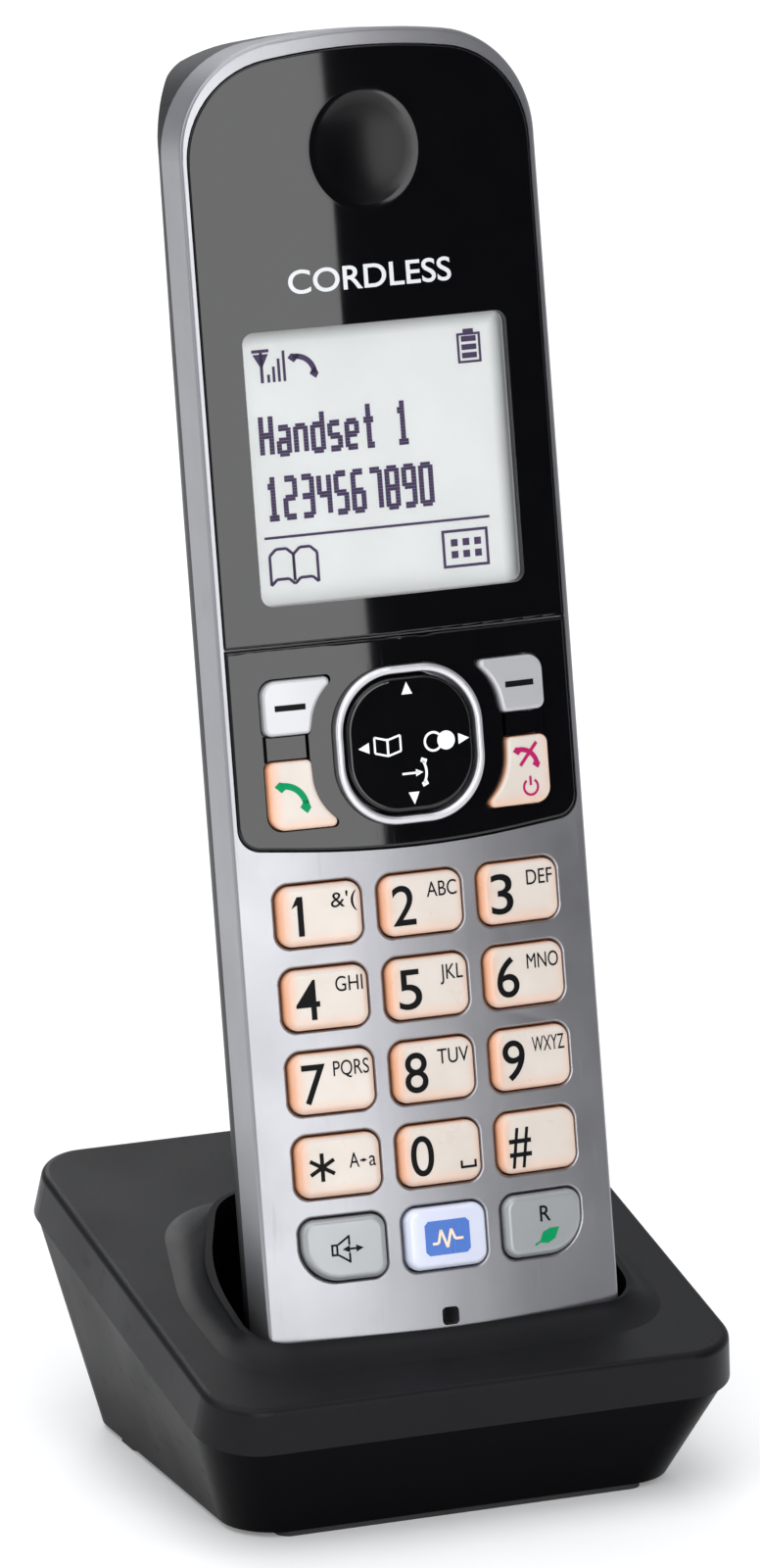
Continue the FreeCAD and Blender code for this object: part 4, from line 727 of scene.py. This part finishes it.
def print_panel_word():
    word = letters("CORDLESS", -0.4, 138.8, 2.9, 0.5, 0.045, 22.0)
    lay("panel_word", word, "display_panel", "handset", INK_SILVER)


# ---- display --------------------------------------------------------------------------------------

DOT_WIDE = 0.33
DOT_TALL = 0.40
DOT_GAP = 0.016
DISPLAY_DEPTH = 3.045
CHARACTER_ROWS = 7
CHARACTER_BLOCKS = 3
CHARACTER_PITCH = 7
# Each character is seven rows of three blocks, and a row's figure is the sum of 4, 2 and 1 for them.
CHARACTERS = {
    "0": "7555557", "1": "2622227", "2": "7117447", "3": "7117117", "4": "5557111", "5": "7447117",
    "6": "7447557", "7": "7111111", "8": "7557557", "9": "7557117",
    "H": "5557555", "a": "0071757", "n": "0075555", "d": "1175557", "s": "0074717", "e": "0075747",
    "t": "2272223", " ": "0000000",
}


def is_lit(sign, row, block):
    """True if that block of a character is drawn; none is outside it."""
    inside = 0 <= row < CHARACTER_ROWS and 0 <= block < CHARACTER_BLOCKS
    return inside and bool(int(CHARACTERS[sign][row]) & (4 >> block))


def dots(text, x, y):
    """Text in blocks of two by two dots, up from (x, y), less the dots at lone outer corners."""
    shapes = []
    for place, sign in enumerate(text):
        for row in range(CHARACTER_ROWS):
            for block in range(CHARACTER_BLOCKS):
                if not is_lit(sign, row, block):
                    continue
                for dx, dy in ((0, 0), (0, 1), (1, 0), (1, 1)):
                    side_lit = is_lit(sign, row, block + (1 if dx else -1))
                    over_lit = is_lit(sign, row + (-1 if dy else 1), block)
                    if side_lit or over_lit or block == 1:
                        left = x + (place * CHARACTER_PITCH + block * 2 + dx) * DOT_WIDE
                        low = y + ((CHARACTER_ROWS - 1 - row) * 2 + dy) * DOT_TALL
                        shapes.append(box(left, low, left + DOT_WIDE - DOT_GAP, low + DOT_TALL - DOT_GAP))
    return shapes


def aerial_sign():
    """An aerial with four bars of rising height."""
    foot = 127.9
    shapes = [box(-16.0, 131.7, -13.7, 132.1), box(-15.0, foot, -14.6, 131.7),
              [(-15.9, 131.5), (-14.8, 129.6), (-13.8, 131.5)]]
    shapes += [box(-14.1 + i * 0.72, foot, -13.75 + i * 0.72, foot + 1.0 + i * 0.95) for i in range(4)]
    return shapes


def battery_sign():
    """An upright battery with three bars in it."""
    shapes = frame_of(11.8, 128.0, 15.0, 131.8, 0.3) + [box(12.7, 131.8, 14.1, 132.3)]
    shapes += [box(12.4, 128.6 + i * 1.05, 14.4, 129.3 + i * 1.05) for i in range(3)]
    return shapes


def book_sign():
    """An open book: one page's outline, drawn to both sides of the spine."""
    spine = -12.4
    page = [(0.0, 102.9), (0.0, 106.2), (0.9, 107.0), (2.3, 107.0), (3.2, 106.2), (3.2, 102.5),
            (2.4, 103.2), (0.8, 103.2), (0.0, 102.5)]
    return [bar(spine + side * x0, y0, spine + side * x1, y1, 0.36)
            for side in (-1, 1) for (x0, y0), (x1, y1) in zip(page, page[1:])]


def menu_sign():
    """A frame with two rows of three squares in it."""
    shapes = frame_of(7.8, 102.4, 14.1, 107.2, 0.35)
    for i in range(3):
        for j in range(2):
            left, low = 9.0 + i * 1.6, 103.6 + j * 1.5
            shapes.append(box(left, low, left + 0.9, low + 0.9))
    return shapes


def print_display():
    picture = dots("Handset 1", -15.8, 118.5) + dots("1234567890", -15.5, 110.5)
    picture += [box(-16.1, 108.3, 14.5, 108.62)]
    picture += aerial_sign()
    picture += receiver(-8.8, 130.1, 2.3, -38)
    picture += battery_sign()
    picture += book_sign()
    picture += menu_sign()
    lay("display_picture", flat(picture), "lcd_module", "handset", DISPLAY_INK, DISPLAY_DEPTH)


print_number_keys()
print_side_keys()
print_speaker_key()
print_recall_key()
print_noise_key()
print_navigator()
print_panel_word()
print_display()

# ---- floor, lights and camera, in metres ----------------------------------------------------------

FLOOR_HALF = 6.0
FLOOR_GLOW = 0.14
CARD_FROM = 18.1
CARD_TO = 58
CARD_DISTANCE = 0.96
CARD_HEIGHT = 0.9
MIDDLE = (0, 0, 0.09)
WORLD_COLOUR = (0.93, 0.95, 1.0, 1)
WORLD_STRENGTH = 0.5
CAMERA_BACK = Vector((-0.3684, -0.8898, 0.2694)).normalized()
CAMERA_TARGET = Vector((-0.00037, -0.00101, 0.08891))
CAMERA_DISTANCE = 1.35625


def stage_mesh(name, points, finish):
    """A flat sheet of the stage, which is no part of the object."""
    mesh = bpy.data.meshes.new(name)
    mesh.from_pydata(points, [], [tuple(range(len(points)))])
    mesh.materials.append(finish)
    mesh.update()
    item = bpy.data.objects.new(name, mesh)
    bpy.context.scene.collection.objects.link(item)
    return item


def around(azimuth, distance, height):
    """A place that far from the object, azimuth degrees right of straight in front."""
    return (distance * sin(radians(azimuth)), -distance * cos(radians(azimuth)), height)


def light(name, place, target, width, height, radiance):
    """A soft rectangular light, unseen by the camera, as bright as radiance on a white scale of 1."""
    data = bpy.data.lights.new(name, "AREA")
    data.shape = "RECTANGLE"
    data.size, data.size_y = width, height
    data.energy = radiance * pi * width * height
    item = bpy.data.objects.new(name, data)
    bpy.context.scene.collection.objects.link(item)
    item.location = place
    item.rotation_euler = (Vector(target) - Vector(place)).to_track_quat("-Z", "Y").to_euler()
    item.visible_camera = False


def lay_floor():
    finish = plastic("floor_white", tint(244, 244, 244), 0.6, (3.0, 0.01), 0.04, 0.004,
                     Emission_Color=tint(255, 255, 255), Emission_Strength=FLOOR_GLOW)
    corners = [(-FLOOR_HALF, -FLOOR_HALF, 0), (FLOOR_HALF, -FLOOR_HALF, 0),
               (FLOOR_HALF, FLOOR_HALF, 0), (-FLOOR_HALF, FLOOR_HALF, 0)]
    stage_mesh("floor", corners, finish)


def stand_card():
    """A black card beside the front light, seen only in reflections: it darkens the gloss on the right."""
    finish = plastic("card_black", tint(8, 8, 8), 0.9, (5.0, 0.02), 0.02, 0.05)
    near, far = around(CARD_FROM, CARD_DISTANCE, 0), around(CARD_TO, CARD_DISTANCE, 0)
    corners = [near, far, (far[0], far[1], CARD_HEIGHT), (near[0], near[1], CARD_HEIGHT)]
    card = stage_mesh("card", corners, finish)
    card.visible_camera = False
    card.visible_diffuse = False
    card.visible_shadow = False


def light_the_scene():
    light("front_softbox", around(2.4, 1.0, 0.40), around(2.4, 0, 0.40), 0.56, 0.9, 3.2)
    light("top_softbox", (-0.3, -0.2, 1.5), MIDDLE, 1.8, 1.8, 1.5)
    light("left_softbox", around(-75, 1.3, 0.7), MIDDLE, 0.7, 1.0, 1.6)
    light("back_softbox", around(176, 1.2, 0.95), MIDDLE, 0.8, 0.6, 3.2)
    world = bpy.data.worlds.new("studio")
    bpy.context.scene.world = world
    world.use_nodes = True
    background = world.node_tree.nodes["Background"]
    background.inputs["Color"].default_value = WORLD_COLOUR
    background.inputs["Strength"].default_value = WORLD_STRENGTH
    bpy.context.scene.view_settings.view_transform = "Standard"


def place_camera():
    data = bpy.data.cameras.new("camera")
    data.sensor_width = 36.0
    data.lens = 246.0
    data.clip_end = 30.0
    camera = bpy.data.objects.new("camera", data)
    bpy.context.scene.collection.objects.link(camera)
    camera.location = CAMERA_TARGET + CAMERA_BACK * CAMERA_DISTANCE
    camera.rotation_euler = CAMERA_BACK.to_track_quat("Z", "Y").to_euler()
    bpy.context.scene.camera = camera


lay_floor()
stand_card()
light_the_scene()
place_camera()
